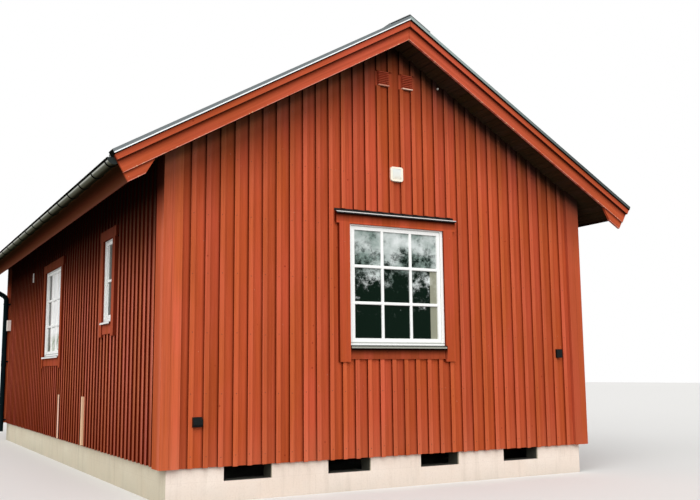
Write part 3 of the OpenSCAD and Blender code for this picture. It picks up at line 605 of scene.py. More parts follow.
def boardSides(axis, then):
    # Painted shade: the sides of a casing, square to the wall, are dark
    def sides(finish, base):
        return finish.mix(facing(finish, axis) * boardLook["sides"], then(finish, base),
                          shadeRed)
    return sides


def coverShade(finish, base):
    # Painted shadow: a head board is dark just under its metal cover
    board = ((asideX(finish) < halfWidth - boardLook["inset"])
             * (finish.z > headBoardTop - boardLook["headDeep"]))
    dark = finish.ramp((headBoardTop - finish.z).between(0.0, boardLook["headReach"]),
                       boardLook["headStops"])
    return finish.mix(board, underSill(finish, base), finish.tinted(base, dark))


def underSill(finish, base):
    # Painted shade: the board under each sill is darker, and black just beneath the sill
    inX = (asideX(finish) < sillHalf) * (asideX(finish) < halfWidth - boardLook["inset"])
    below = sillZ - finish.z
    board = inX * (below > 0.0) * (below < casings["apron"] - boardLook["apronGap"])
    base = finish.mix(board * boardLook["apronShare"], base, boardLook["apron"])
    return finish.mix(board * (1.0 - below.between(*boardLook["black"])), base,
                      boardLook["blackColour"])


print("finishes of the boards")
gableStart = leftX + battens["gableFirst"]
sideStart = frontY + battens["sideFirst"]
shift = battens["width"] / 2
gableRed = paintedWood("gable boards", wallRed, gableWays, battens["gableModule"],
                       gableStart + shift, then=gableWall, battenLeft=gableStart)
sideRed = paintedWood("side boards", sheenRed, sideWays, battens["module"], sideStart + shift,
                      soiled=False, then=sideWall, battenLeft=sideStart)
gableBatten = paintedWood("gable battens", (0.560, 0.106, 0.042), gableWays,
                          battens["gableModule"], gableStart - shift, then=underVerge)
# The long walls' battens carry the same painted sheen, paler still
sideBatten = paintedWood("side battens", (0.680, 0.200, 0.105), sideWays, battens["module"],
                         sideStart - shift, soiled=False, then=underEaves)
# The battens' sides take a near-black red as painted shade
battenEdge = paintedWood("batten edges", edgeShadeRed, gableWays, soiled=False)
gableEdge = paintedWood("gable batten edges", edgeShadeRed, gableWays, soiled=False, then=gableEdges)
casingRun = (casings["width"], 0.03)
trimUpright = paintedWood("corner boards", (0.595, 0.116, 0.047), gableWays, *casingRun,
                          then=cornerSides)
gableCasing = paintedWood("gable casings", wallRed, gableWays, *casingRun,
                          then=boardSides("X", coverShade))
sideCasing = paintedWood("side casings", sheenRed, sideWays, *casingRun,
                         then=boardSides("Y", eavesCasing))
rake = {"module": 0.6, "start": -0.3, "foot": -0.115, "lower": -0.025, "upper": 0.095,
        "strip": 0.038}
rakeRun = (rake["module"], rake["start"], False)
lowerRed = paintedWood("lower bargeboards", trimRed, rakeWays, *rakeRun,
                       then=wornAndShadedEdge(rake["lower"], rake["upper"], 0.070))
upperRed = paintedWood("upper bargeboards", trimRed, rakeWays, *rakeRun,
                       then=wornAndShadedEdge(rake["upper"], vergeTop - rake["strip"], 0.050, worn=0.15,
                                     foot=0.85, line=0.92))
footRed = paintedWood("foot boards", trimRed, rakeWays, *rakeRun,
                      then=wornAndShadedEdge(rake["foot"], rake["lower"], 0.045))
eaveRed = paintedWood("fascias", shade(wallRed, 0.66), (acrossSide, upright, acrossGable), 0.9,
                      soiled=False, then=behindGutter)
# The soffit boards are near black: dark wood, darkened further as painted shade under the roof
soffitRed = paintedWood("soffit boards", (0.056, 0.034, 0.018), (acrossSide, alongRake, upRake),
                        0.095, soiled=False)
doorRed = paintedWood("door boards", (0.36, 0.060, 0.024), sideWays, 0.12, 0.05)
floorWood = paintedWood("floor boards", (0.42, 0.27, 0.14), (acrossSide, acrossGable, upright),
                        0.12, soiled=False)
newWood = paintedWood("new battens", (0.86, 0.56, 0.36), sideWays, 0.3, soiled=False)


metalLook = {"patch": (2.3, 4.0, 0.6), "fine": (60.0, 3.0, 0.6),
             "streak": (30.0, 30.0, 1.2, 3.0, 0.6), "dark": 0.88, "light": 1.10,
             "fineShare": 0.12, "fineLight": 1.3, "roughSpread": 0.14, "smoother": 0.05,
             "relief": 0.003, "strength": 0.35}


def paintedMetal(name, colour, rough, streaky, grime=(0.10, 0.10, 0.09), then=None, **fixed):
    # Coated sheet: a faint unevenness, water streaks and fine pale specks
    finish = Finish(name, **fixed)
    look = metalLook
    patch = finish.noise(finish.place, *look["patch"])
    fine = finish.noise(finish.place, *look["fine"])
    streak = finish.stretched(*look["streak"])
    base = finish.mix(patch.between(0.3, 0.7), shade(colour, look["dark"]),
                      shade(colour, look["light"]))
    base = finish.mix(streak.between(0.52, 0.75) * streaky, base, grime)
    base = finish.mix(fine.between(0.6, 0.8) * look["fineShare"], base,
                      shade(colour, look["fineLight"]))
    if then is not None:
        base = then(finish, base)
    finish.link(Base_Color=base, Roughness=patch.between(0.3, 0.7) * look["roughSpread"]
                + (rough - look["smoother"]))
    finish.bump(patch * 0.8 + fine * 0.05, look["relief"], look["strength"])
    return finish.material


vergeLook = {"ridge": (0.30, 0.36, 0.345), "eaves": (0.060, 0.072, 0.070), "fall": (0.4, 2.4),
             "left": (0.17, 0.19, 0.195), "line": 0.034, "lineColour": (0.012, 0.014, 0.013),
             "lip": 0.030, "lipColour": (0.84, 0.86, 0.86)}


def paleLip(finish, base):
    # The verge strip is grey above; on the left slope its lip is almost white, a painted
    # highlight; on the right slope a painted sheen runs from pale green-grey by the ridge to dull
    # lower down, and painted shade makes its lowest edge black
    look, left = vergeLook, finish.x < midX
    base = finish.mix((finish.x - midX).between(*look["fall"]), look["ridge"], look["eaves"])
    base = finish.mix(left, base, look["left"])
    base = finish.mix((upRake(finish) < vergeTop - look["line"]) * (1.0 - left), base,
                      look["lineColour"])
    return finish.mix((upRake(finish) < vergeTop - look["lip"]) * left, base, look["lipColour"])


coverLook = {"inset": 0.05, "aside": (0.88, 0.88, 0.85), "upstand": 0.038,
             "line": (-0.009, 0.002), "lineColour": (0.72, 0.69, 0.67),
             "top": (0.010, 0.007, 0.006), "level": (0.012, 0.010, 0.008),
             "lip": (0.34, 0.34, 0.29), "fold": (-0.017, 0.010),
             "foldColour": (0.040, 0.048, 0.038), "headFrom": 0.10}
headCoverZ = corners("window_flashings")[1][2] - coverLook["upstand"]
sillTopZ = corners("window_front")[0][2]


def darkUpstand(finish, base):
    # Over a head board the cover is black, with a painted highlight along the top of its lip;
    # level faces are near black with painted shade; a sill's lip is grey over a painted shadow in
    # its fold, and the sills of the long walls are pale with a painted reflection
    look = coverLook

    def band(middle, span):
        return (finish.z > middle + span[0]) * (finish.z < middle + span[1])

    base = finish.mix(asideX(finish) > halfWidth - look["inset"], base, look["aside"])
    top = finish.mix(band(headCoverZ, look["line"]), look["top"], look["lineColour"])
    base = finish.mix(facing(finish, "Z"), base, look["level"])
    front = asideX(finish) < halfWidth - look["inset"]
    base = finish.mix(front * (finish.z < sillTopZ), base, look["lip"])
    base = finish.mix(band(sillTopZ, look["fold"]) * front, base, look["foldColour"])
    return finish.mix(finish.z > headCoverZ - look["headFrom"], base, top)


gutterLook = {"reach": 0.062, "inner": (0.036, 0.064), "innerColour": (0.030, 0.036, 0.020),
              "ends": (0.030, 0.037, 0.036), "share": 0.90,
              "stops": ((0.0, (0.002, 0.003, 0.002)), (0.38, (0.002, 0.003, 0.002)),
                        (0.46, (0.62, 0.65, 0.58)), (0.52, (0.90, 0.92, 0.84)),
                        (0.62, (0.46, 0.48, 0.41)), (0.74, (0.25, 0.27, 0.20)),
                        (0.90, (0.20, 0.22, 0.155)), (1.0, (0.12, 0.13, 0.085)))}
gutterLow, gutterHigh = corners("gutter")
gutterRim = gutterHigh[2]


def rimAndShine(finish, base):
    # A black rim, a painted highlight just under it, fading to dark olive at the foot; the half
    # towards the wall is dark, and painted shade darkens the end plates
    look = gutterLook
    tone = finish.ramp((gutterRim - finish.z).between(0.0, look["reach"]), look["stops"])
    inner = finish.x.between(*(gutterLow[0] + place for place in look["inner"]))
    tone = finish.mix(inner, tone, look["innerColour"])
    tone = finish.mix(facing(finish, "Y"), tone, look["ends"])
    return finish.mix(look["share"], base, tone)


roofGrey = paintedMetal("roof sheet", (0.20, 0.21, 0.215), 0.42, 0.35, (0.10, 0.10, 0.085))
vergeGrey = paintedMetal("verge metal", (0.195, 0.235, 0.265), 0.50, 0.12, then=paleLip,
                         Specular_IOR_Level=0.12)
gutterGreen = paintedMetal("gutter metal", (0.016, 0.019, 0.010), 0.42, 0.2,
                           (0.008, 0.010, 0.005), rimAndShine, Specular_IOR_Level=0.0)
hookBlack = paintedMetal("gutter hooks", (0.008, 0.009, 0.007), 0.5, 0.1, Specular_IOR_Level=0.0)
pipeBlack = paintedMetal("downpipe", (0.004, 0.010, 0.012), 0.45, 0.15, (0.030, 0.034, 0.036),
                         Specular_IOR_Level=0.0)
coverGrey = paintedMetal("window covers", (0.24, 0.25, 0.21), 0.45, 0.25, (0.20, 0.20, 0.18),
                         darkUpstand, Specular_IOR_Level=0.15)


smoothLook = {"grime": (3.1, 5.0, 0.65), "grimeTint": 0.55, "dark": 0.96, "light": 1.03,
              "roughSpread": 0.1, "relief": 0.0006, "strength": 0.5}


def smoothPaint(name, colour, rough, brush, dirt, then=None, shine=0.4):
    # Gloss paint or moulded plastic: brush marks or a fine grain, and a little dirt
    finish = Finish(name, Specular_IOR_Level=shine)
    marks = finish.stretched(brush, brush, brush, 3.0, 0.6)
    look = smoothLook
    grime = finish.noise(finish.place, *look["grime"])
    base = finish.mix(marks.between(0.35, 0.65), shade(colour, look["dark"]),
                      shade(colour, look["light"]))
    base = finish.mix(grime.between(0.55, 0.8) * dirt, base, shade(colour, look["grimeTint"]))
    if then is not None:
        base = then(finish, base)
    finish.link(Base_Color=base, Roughness=marks.between(0.3, 0.7) * look["roughSpread"] + rough)
    finish.bump(marks, look["relief"], look["strength"])
    return finish.material


hoodLook = {"rim": 0.021, "low": (0.80, 0.77, 0.68), "high": (0.78, 0.81, 0.78),
            "fade": (0.02, 0.12), "stain": (0.50, 0.38, 0.24), "stainTo": (0.03, 0.07),
            "stainShare": 0.5}


def hoodFace(finish, base):
    # Painted shade makes the sunk face greyer than its rim, with a faint brown stain low on it
    look = hoodLook
    low, high = corners("vent_hood")
    inX, inZ = (abs(way - (low[axis] + high[axis]) / 2)
                < (high[axis] - low[axis]) / 2 - look["rim"]
                for way, axis in ((finish.x, 0), (finish.z, 2)))
    up = finish.z - low[2]
    face = finish.mix(up.between(*look["fade"]), look["low"], look["high"])
    stain = (finish.noise(finish.place, 24.0).between(0.45, 0.65)
             * (1.0 - up.between(*look["stainTo"])))
    face = finish.mix(stain * look["stainShare"], face, look["stain"])
    return finish.mix(inX * inZ, base, face)


footLook = {"below": 0.0535, "high": 0.0095, "share": 0.85, "colour": (0.22, 0.24, 0.21)}


def footLine(finish, base):
    # A dull line runs along the foot of each frame
    high = finish.z - (paneLow - footLook["below"])
    line = (high > 0.0) * (high < footLook["high"]) * (facing(finish, "Z") < 0.5)
    return finish.mix(line * footLook["share"], base, footLook["colour"])


lipLook = {"share": 0.8, "pale": (0.90, 0.70, 0.55)}


def paleOnRight(finish, base):
    # The lip of the vent on the right of the gable is paler
    return finish.mix((finish.x > midX) * lipLook["share"], base, lipLook["pale"])


whitePaint = smoothPaint("window paint", (0.95, 0.955, 0.93), 0.25, 90.0, 0.05, footLine)
hoodCream = smoothPaint("hood plastic", (0.95, 0.89, 0.74), 0.42, 160.0, 0.08, hoodFace)
fittingBlack = smoothPaint("black plastic", (0.004, 0.006, 0.006), 0.45, 220.0, 0.10, shine=0.10)
sealGrey = smoothPaint("window seals", (0.60, 0.61, 0.58), 0.6, 220.0, 0.10, shine=0.1)
paleFitting = smoothPaint("pale plastic", (0.86, 0.80, 0.73), 0.45, 200.0, 0.20)
steel = smoothPaint("bright fixings", (0.34, 0.35, 0.36), 0.35, 300.0, 0.20)
ventRed = smoothPaint("vent slats", (0.43, 0.070, 0.026), 0.6, 120.0, 0.2)
lipRed = smoothPaint("vent lips", (0.66, 0.30, 0.20), 0.5, 120.0, 0.2, paleOnRight)
nailPaint = smoothPaint("nail heads", (0.13, 0.022, 0.012), 0.5, 300.0, 0.3)


blockLook = {"long": 0.6, "course": 0.19, "lap": 0.3, "joint": 0.010, "bed": 0.009,
             "jointShare": 0.06, "jointColour": (0.42, 0.33, 0.26), "low": (0.84, 0.70, 0.59),
             "high": (0.95, 0.83, 0.73), "pit": (0.58, 0.45, 0.35), "drip": (0.52, 0.42, 0.33),
             "damp": (0.42, 0.36, 0.28), "dampHigh": 0.20, "longSides": (0.84, 0.88, 0.78),
             "inside": (0.010, 0.030), "insideShare": 0.93, "insideColour": (0.018, 0.024, 0.018)}
plinthLow, plinthHigh = corners("plinth_front")


def blockWork():
    # Rendered and painted blocks: very faint joints, a pitted face, damp and splashes near the
    # ground; painted shade darkens the long sides and the inside of the crawl vents
    look = blockLook
    finish = Finish("plinth blocks", Specular_IOR_Level=0.25)
    row = (finish.z / look["course"]).floor()
    across = (finish.x + finish.y + (row % 2.0) * look["lap"]) % look["long"]
    joint = (across < look["joint"]).highest(finish.z % look["course"] < look["bed"])
    patch = finish.noise(finish.place, 1.7, 5.0, 0.62)
    pits = finish.noise(finish.place, 70.0, 4.0, 0.7)
    drips = finish.stretched(11.0, 11.0, 1.1, 4.0, 0.6)
    low = 1.0 - finish.z.between(0.0, look["dampHigh"])
    base = finish.mix(patch.between(0.3, 0.7), look["low"], look["high"])
    for amount, colour in ((pits.between(0.50, 0.72) * 0.25, look["pit"]),
                           (drips.between(0.52, 0.75) * 0.30, look["drip"]),
                           (low * patch.between(0.35, 0.75) * 0.5, look["damp"]),
                           (joint * look["jointShare"], look["jointColour"])):
        base = finish.mix(amount, base, colour)
    base = finish.mix(facing(finish, "X"), base, finish.tinted(base, look["longSides"]))
    deepX = (plinthHigh[0] - plinthLow[0]) / 2 - asideX(finish)
    deepY = midY - plinthLow[1] - asideY(finish)
    deep = deepX.lowest(deepY).between(*look["inside"])
    base = finish.mix(deep * look["insideShare"], base, look["insideColour"])
    finish.link(Base_Color=base, Roughness=pits * 0.15 + 0.80)
    finish.bump(pits * 0.5 + patch * 0.4 - joint * 0.15, 0.004, 0.6)
    return finish.material


barLook = {"width": 0.032, "out": 0.019, "inside": 0.008, "chamfer": 0.005, "thinner": 0.0007,
           "lap": 0.002, "gridAcross": (-0.180, 0.180), "gridUp": (2.323, 1.932),
           "smallUp": (2.287,)}
glassLook = {"black": (0.002, 0.010, 0.005), "dull": (0.22, 0.29, 0.26),
             "bright": (0.76, 0.80, 0.79), "leaf": (0.16, 0.22, 0.10),
             "gap": (0.72, 0.75, 0.66), "sky": (0.97, 0.97, 0.96), "edge": 0.088,
             "edgeShare": 0.85, "edgeColour": (0.36, 0.36, 0.27), "strip": (0.17, 0.01),
             "stripShare": 0.9, "stripColour": (0.055, 0.062, 0.048)}


def glassPane():
    # Dark panes with a painted reflection of sky and foliage: pale and cloudy above, nearly black
    # below; the panes of the long sides are paler, with reflected leaves painted along their foot
    look = glassLook
    finish = Finish("window panes", Roughness=0.04, Specular_IOR_Level=0.05)
    height = finish.z.between(paneLow, paneHigh)
    leaves = finish.noise(finish.place, 9.0, 12.0, 0.80)
    clouds = finish.noise(finish.vector(finish.x * 1.3 + finish.y * 0.9, finish.y * 0.6,
                                        finish.z * 1.6), 1.7, 4.0, 0.6)
    aside = asideX(finish) > halfWidth - 0.3
    clear = (leaves * 1.15 + height * 0.50 + clouds * 0.35 + aside * 1.5).between(1.00, 1.17)
    pale = finish.mix(clouds.between(0.38, 0.62), look["dull"], look["bright"])
    low = finish.mix(leaves.between(0.42, 0.52), look["leaf"], look["gap"])
    far = finish.mix((finish.z - paneLow - clouds * 0.2).between(0.06, 0.16), low, look["sky"])
    base = finish.mix(clear, look["black"], finish.mix(aside, pale, far))
    # The front window has a painted pale band along its right edge, for the lit lining seen
    # through it, and the left ones are dark at the rear
    front = onWall(panes, 0, frontY)[0]
    edge = ((finish.x > front[1][0] - look["edge"]) * (finish.z < barLook["gridUp"][0])
            * (finish.y < frontY + 0.1))
    base = finish.mix(edge * look["edgeShare"], base, look["edgeColour"])
    for box in onWall(panes, 1, leftX):
        start, stop = (box[1][1] - back for back in look["strip"])
        strip = (finish.x < midX) * (finish.y > start) * (finish.y < stop)
        base = finish.mix(strip * look["stripShare"], base, look["stripColour"])
    finish.link(Base_Color=base, Alpha=clear * 0.05 + 0.94)
    return finish.material


# Battens: for each wall, their left edges, trimmed round whatever stands on the boards

soffit = {"width": 0.095, "gap": 0.003, "thick": 0.012, "bevel": 0.004, "first": 0.02,
          "clear": 0.012}
underBoards = soffit["thick"] / cosPitch
eaveTop = undersideZ(leftX) - underBoards - soffit["clear"]


def battenSpans(first, end, blocks, topAt, module):
    # Each batten runs from the boards' foot to the roof, less the blocks that it would cross
    spans = []
    for left in np.arange(first, end, module):
        left = left + rng.uniform(-1, 1) * battens["wander"]
        right = left + battens["width"] + rng.uniform(-1, 1) * battens["wander"]
        pieces = [[boardFoot - rng.uniform(0, 1) * battens["foot"], topAt(left), topAt(right)]]
        for low, high, foot, top in blocks:
            if right > low and left < high:
                cut = []
                for z0, z1, z2 in pieces:
                    if top < min(z1, z2):
                        cut.append([max(top, z0), z1, z2])
                    if foot > z0:
                        cut.append([z0, min(foot, z1), min(foot, z2)])
                pieces = cut
        spans += [(left, right, *piece) for piece in pieces]
    return np.array(spans)


def battenMesh(spans, axis, face, sign):
    # Section with two chamfered edges, carried from the foot to a top that follows the roof
    left, right, foot, topLeft, topRight = spans.T
    section = chamfered(left, right, 0, battens["depth"], battens["chamfer"])
    rings = np.empty((len(spans), 2, len(section), 3))
    for k, (across, out) in enumerate(section):
        rings[:, :, k, axis] = across[:, None]
        rings[:, :, k, 1 - axis] = face + sign * out
        share = (across - left) / (right - left)
        rings[:, 0, k, 2] = foot
        rings[:, 1, k, 2] = topLeft + (topRight - topLeft) * share
    return prisms(rings)


def sideFaces(count):
    # Each batten has six long faces in its section's order; the first and the fifth are its sides
    return (np.arange(count)[:, None] * 6 + np.array([0, 4])).ravel()


def windowBlocks(axis, place, cover):
    # The battens stop over a window's head board, at the board under it, and where a casing
    # covers them altogether
    blocks, frameWide = [], casings["frame"]
    for low, high in onWall(panes, axis, place):
        wider = casings["wider"] if high[axis] - low[axis] > casings["large"] else 0.0
        leg = casings["width"] + wider
        edge = frameWide + leg
        left, right = low[axis] - edge, high[axis] + edge
        top = high[2] + frameWide + casings["head"] + cover
        foot = low[2] - frameWide - casings["down"]
        inset = battens["width"] - casings["inset"]
        over = casings["headOver"]
        blocks += [(low[axis] - frameWide, high[axis] + frameWide,
                    low[2] - frameWide - casings["apron"], top),
                   (left - over, right + over, top - casings["head"] - cover, top),
                   (left + inset, left + leg - hair, foot, top),
                   (right - leg + hair, right - inset, foot, top)]
    return blocks


def clad(wall, extra):
    # All the battens of one wall: a gable's run up to the soffit, a long wall's to the eaves
    axis, place, sign = walls[wall]
    if axis == 0:
        blocks = windowBlocks(axis, place, casings["cover"]) + extra
        spans = battenSpans(gableStart, rightX - battens["gableFirst"], blocks,
                            lambda x: float(undersideZ(x)) - underBoards - hair,
                            battens["gableModule"])
        face, edge = gableBatten, gableEdge
    else:
        blocks = windowBlocks(axis, place, 0.0) + extra
        spans = battenSpans(sideStart, rearY - battens["sideFirst"] - battens["sideEnd"], blocks,
                            lambda y: eaveTop, battens["module"])
        face, edge = sideBatten, battenEdge
    points, faces = battenMesh(spans, axis, place, sign)
    addPiece("battens_" + wall, points, faces, face, "red_boards", edge, sideFaces(len(spans)))
    return spans


def ventBlocks(node):
    # Left, right, foot and top of each vent
    return [(low[0], high[0], low[2], high[2]) for low, high in looseBoxes(node)]


doorLow, doorHigh = corners("door_frame")
doorBlock = (doorLow[1] - casings["width"], doorHigh[1] + casings["width"], doorLow[2] - 0.02,
             doorHigh[2] + casings["doorHead"])
blocksOn = {"front": ventBlocks("gable_vents_front"), "rear": ventBlocks("gable_vents_rear"),
            "left": [], "right": [doorBlock]}
battenRows = {wall: clad(wall, blocks) for wall, blocks in blocksOn.items()}
print("battens:", *(len(spans) for spans in battenRows.values()))


# Nails: one in each batten on every row of studs behind the boards

nails = {"first": 0.10, "rows": 0.58, "count": 9, "radius": 0.0055, "height": 0.0012,
         "stray": 0.012, "margin": 0.03}


def nailMesh(spans, axis, face, sign):
    # Rows at equal heights; a nail is kept where its batten is there, a little off the line
    rows = boardFoot + nails["first"] + np.arange(nails["count"]) * nails["rows"]
    across = np.repeat((spans[:, 0] + spans[:, 1])[:, None] / 2, len(rows), axis=1)
    height = np.repeat(rows[None], len(spans), axis=0)
    across = across + rng.uniform(-0.5, 0.5, across.shape) * nails["stray"]
    height = height + rng.uniform(-0.5, 0.5, height.shape) * nails["stray"] * 2
    kept = ((height > spans[:, 2:3] + nails["margin"])
            & (height < spans[:, 3:5].min(1)[:, None] - nails["margin"]))
    centres = np.empty((kept.sum(), 3))
    centres[:, axis] = across[kept]
    centres[:, 1 - axis] = face + sign * battens["depth"]
    centres[:, 2] = height[kept]
    outward = np.zeros(3)
    outward[1 - axis] = sign
    return studs(centres, outward, nails["radius"], nails["height"])


for wall, run in walls.items():
    addPiece("nails_" + wall, *nailMesh(battenRows[wall], *run), nailPaint, "red_boards")
print("nails")


# Soffit: boards along the house under the slopes, outside the walls

def soffitMesh(side):
    # Rows down the slope; those over the wall stop at the gables, those beyond it run right through
    rows = np.arange(soffit["first"], slabEdge - soffit["first"], soffit["width"])
    beyond = rows * cosPitch > halfWidth + 2 * hair
    over = rows[~beyond]
    starts, stops, along = (np.concatenate(parts) for parts in (
        [np.full(len(over), slabLow[1]), np.full(len(over), rearY),
         np.full(beyond.sum(), slabLow[1])],
        [np.full(len(over), frontY), np.full(len(over), slabHigh[1]),
         np.full(beyond.sum(), slabHigh[1])],
        [over, over, rows[beyond]]))
    wide = np.minimum(along + soffit["width"] - soffit["gap"], slabEdge - hair)
    section = chamfered(along, wide, 0, -soffit["thick"], soffit["bevel"], -1)
    return lengths([onSlope(side, down, up) for down, up in section], (0, 2), starts, stops)


for hand, side in (("left", -1), ("right", 1)):
    addPiece("soffit_" + hand, *soffitMesh(side), soffitRed, "roof_boards")
print("soffits")


# Window bars, on both faces of each pane

def barMesh(low, high):
    # Bars across the pane and up it, each a chamfered strip from the pane's face outwards; the
    # bars up the pane are a hair thinner, so that no two faces lie in one plane
    axis = 0 if high[0] - low[0] > high[1] - low[1] else 1
    thin = 1 - axis
    centre = (low + high) / 2
    outward = 1 if centre[thin] > (midX, midY)[thin] else -1
    turned = (1 if axis == 0 else -1) * -outward
    large = high[axis] - low[axis] > casings["large"]
    across = [centre[axis] + place * turned for place in barLook["gridAcross"]] if large else []
    up = barLook["gridUp"] if large else barLook["smallUp"]
    parts = []
    for sign, reach in ((outward, barLook["out"]), (-outward, barLook["inside"])):
        face = high[thin] if sign > 0 else low[thin]
        for places, along, thinner in ((up, axis, 0.0), (across, 2, barLook["thinner"])):
            for place in places:
                lows, highs = low.copy(), high.copy()
                other = 2 if along == axis else axis
                lows[other] = place - barLook["width"] / 2
                highs[other] = place + barLook["width"] / 2
                lows[along] -= barLook["lap"]
                highs[along] += barLook["lap"]
                lows[thin], highs[thin] = sorted((face, face + sign * (reach - thinner)))
                parts.append(bars(lows, highs, barLook["chamfer"], (thin, sign)))
    return joined(parts)


for wall, (axis, place, sign) in walls.items():
    points, faces = joined([barMesh(low, high) for low, high in onWall(panes, axis, place)])
    addPiece("window_bars_" + wall, points, faces, whitePaint, "white_paint")
print("window bars")


# Seals in the step between each frame and its sash

sealLook = {"inner": 0.036, "outer": 0.0425, "faceOut": 0.0088, "deep": 0.004, "chamfer": 0.0005}


def sealMesh(axis, place, sign):
    # Four strips round each pane: left, right, foot and head
    parts, inner, outer = [], sealLook["inner"], sealLook["outer"]
    for low, high in onWall(panes, axis, place):
        (a0, z0), (a1, z1) = ((corner[axis], corner[2]) for corner in (low, high))
        for strip in ((a0 - outer, a0 - inner, z0 - outer, z1 + outer),
                      (a1 + inner, a1 + outer, z0 - outer, z1 + outer),
                      (a0 - inner, a1 + inner, z0 - outer, z0 - inner),
                      (a0 - inner, a1 + inner, z1 + inner, z1 + outer)):
            first, last = np.empty(3), np.empty(3)
            first[axis], last[axis], first[2], last[2] = strip
            first[1 - axis] = place + sign * (sealLook["faceOut"] - sealLook["deep"])
            last[1 - axis] = place + sign * sealLook["faceOut"]
            parts.append(bars(np.minimum(first, last), np.maximum(first, last),
                              sealLook["chamfer"], (1 - axis, sign)))
    return joined(parts)


for wall, run in walls.items():
    addPiece("seals_" + wall, *sealMesh(*run), sealGrey, "white_paint")
print("window seals")


# Eaves strips: bent metal from under the sheet's edge down behind the gutter's rim

dripLook = {"thick": 0.0016, "down": 0.045, "back": 0.012, "inset": 0.004, "under": 0.026}


def dripMesh(side):
    # Section from the top of the fascia out under the sheet and straight down
    first = slabEdge + dripLook["under"]
    tip = midX - corners("roof_sheet_left")[0][0] - dripLook["back"]
    last = (tip - slabThick * sinPitch) / cosPitch
    thick, down = dripLook["thick"], dripLook["down"]
    corner = ridgeZ - last * sinPitch + slabThick * cosPitch - hair
    inner = first * cosPitch + slabThick * sinPitch
    top = ridgeZ - first * sinPitch + slabThick * cosPitch - hair
    section = [(inner, top), (tip, corner), (tip, corner + hair - down),
               (tip - thick, corner + hair - down), (tip - thick, corner - thick),
               (inner, top - thick)]
    return lengths([(midX + side * out, high) for out, high in section], (0, 2),
                   slabLow[1] + dripLook["inset"], slabHigh[1] - dripLook["inset"])


for hand, side in (("left", -1), ("right", 1)):
    addPiece("drip_" + hand, *dripMesh(side), hookBlack, "gutter_metal")
print("eaves strips")


# Eaves ends: a bent plate closes the foot of each verge strip, and the sheet's end behind it

endLook = {"thick": 0.0003, "down": 0.052, "outer": 0.010, "deep": 0.140}


def endPlates():
    # A plate square to the slope, across the end of each strip, from its top downwards
    low = corners("verge_strip_front")[0]
    along = (midX - low[0] - vergeTop * sinPitch) / cosPitch
    side, near = np.array([-1, -1, 1, 1]), np.array([-1, 1, -1, 1])
    outer = near * (-low[1] - endLook["outer"])
    section = [onSlope(side, down, up) for down, up in (
        (along - hair, vergeTop - hair), (along + endLook["thick"], vergeTop - hair),
        (along + endLook["thick"], vergeTop - endLook["down"]),
        (along - hair, vergeTop - endLook["down"]))]
    return lengths(section, (0, 2), outer, outer - near * endLook["deep"])


addPiece("eaves_ends", *endPlates(), hookBlack, "gutter_metal")


# Gutter hooks: flat straps round the half-round gutter

hookLook = {"width": 0.026, "thick": 0.004, "steps": 20, "radius": 0.0625, "drop": 0.004}


def hookMesh():
    # An arc round the gutter's own circle, one thickness deep, at each packed strap
    radius = hookLook["radius"] + hookLook["thick"] * 0.5
    centreX = gutterLow[0] + hookLook["radius"]
    places = [(box[0][1] + box[1][1]) / 2 for box in looseBoxes("gutter_hooks")]
    angles = np.linspace(math.pi, 2 * math.pi, hookLook["steps"])
    rings = np.empty((len(places), len(angles), 4, 3))
    for k, (out, along) in enumerate(((-1, -1), (1, -1), (1, 1), (-1, 1))):
        reach = radius + out * hookLook["thick"] / 2
        rings[:, :, k, 0] = centreX + reach * np.cos(angles)
        rings[:, :, k, 2] = gutterRim - hookLook["drop"] + reach * np.sin(angles)
        rings[:, :, k, 1] = np.array(places)[:, None] + along * hookLook["width"] / 2
    return prisms(rings)


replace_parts(addPiece("hooks_left", *hookMesh(), hookBlack, "gutter_metal"), "gutter_hooks")


# Louvred vents in the gables

louvreLook = {"slats": 8, "lip": 0.012, "body": 0.35, "bodyCut": 0.001, "lipCut": 0.003,
              "slatBack": 0.30, "slatOut": 0.92, "slatTip": 0.98, "tipHigh": 0.004,
              "slatTop": 0.45}


def louvreMesh(node, sign):
    # A flat body with sloping slats: each slat's face leans out towards its lower edge
    look, parts = louvreLook, []
    for low, high in looseBoxes(node):
        back, face = (high[1], low[1]) if sign < 0 else (low[1], high[1])
        depth = face - back
        body = back + depth * look["body"]
        parts.append(bars([(low[0], min(back, body), low[2])],
                          [(high[0], max(back, body), high[2])], look["bodyCut"], (1, sign)))
        edges = np.linspace(low[2] + look["lip"], high[2], look["slats"] + 1)
        foot, top = edges[:-1], edges[1:] - hair
        section = [(foot, look["slatBack"]), (foot, look["slatOut"]),
                   (foot + look["tipHigh"], look["slatTip"]), (top, look["slatTop"]),
                   (top, look["slatBack"])]
        parts.append(lengths([(back + depth * share, up) for up, share in section], (1, 2),
                             np.full(look["slats"], low[0] + hair),
                             np.full(look["slats"], high[0] - hair)))
    return joined(parts)


def lipMesh(node, sign):
    # A rounded lip along the foot of each vent
    parts = []
    for low, high in looseBoxes(node):
        highs = high.copy()
        highs[2] = low[2] + louvreLook["lip"]
        parts.append(bars(low, highs, louvreLook["lipCut"], (1, sign)))
    return joined(parts)


for wall in ("front", "rear"):
    node, sign = "gable_vents_" + wall, walls[wall][2]
    for name, shape, finish in (("louvres_", louvreMesh, ventRed),
                                ("louvre_lips_", lipMesh, lipRed)):
        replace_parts(addPiece(name + wall, *shape(node, sign), finish, "vent_plastic"), node)
print("hooks and louvres")


# Roof screws: on every second rib, in rows down each slope

screwLook = {"rows": (0.14, 0.98, 1.82, 2.66, 3.46), "first": 0.077, "pitch": 0.4,
             "radius": 0.008, "height": 0.005, "ribTop": 0.197}


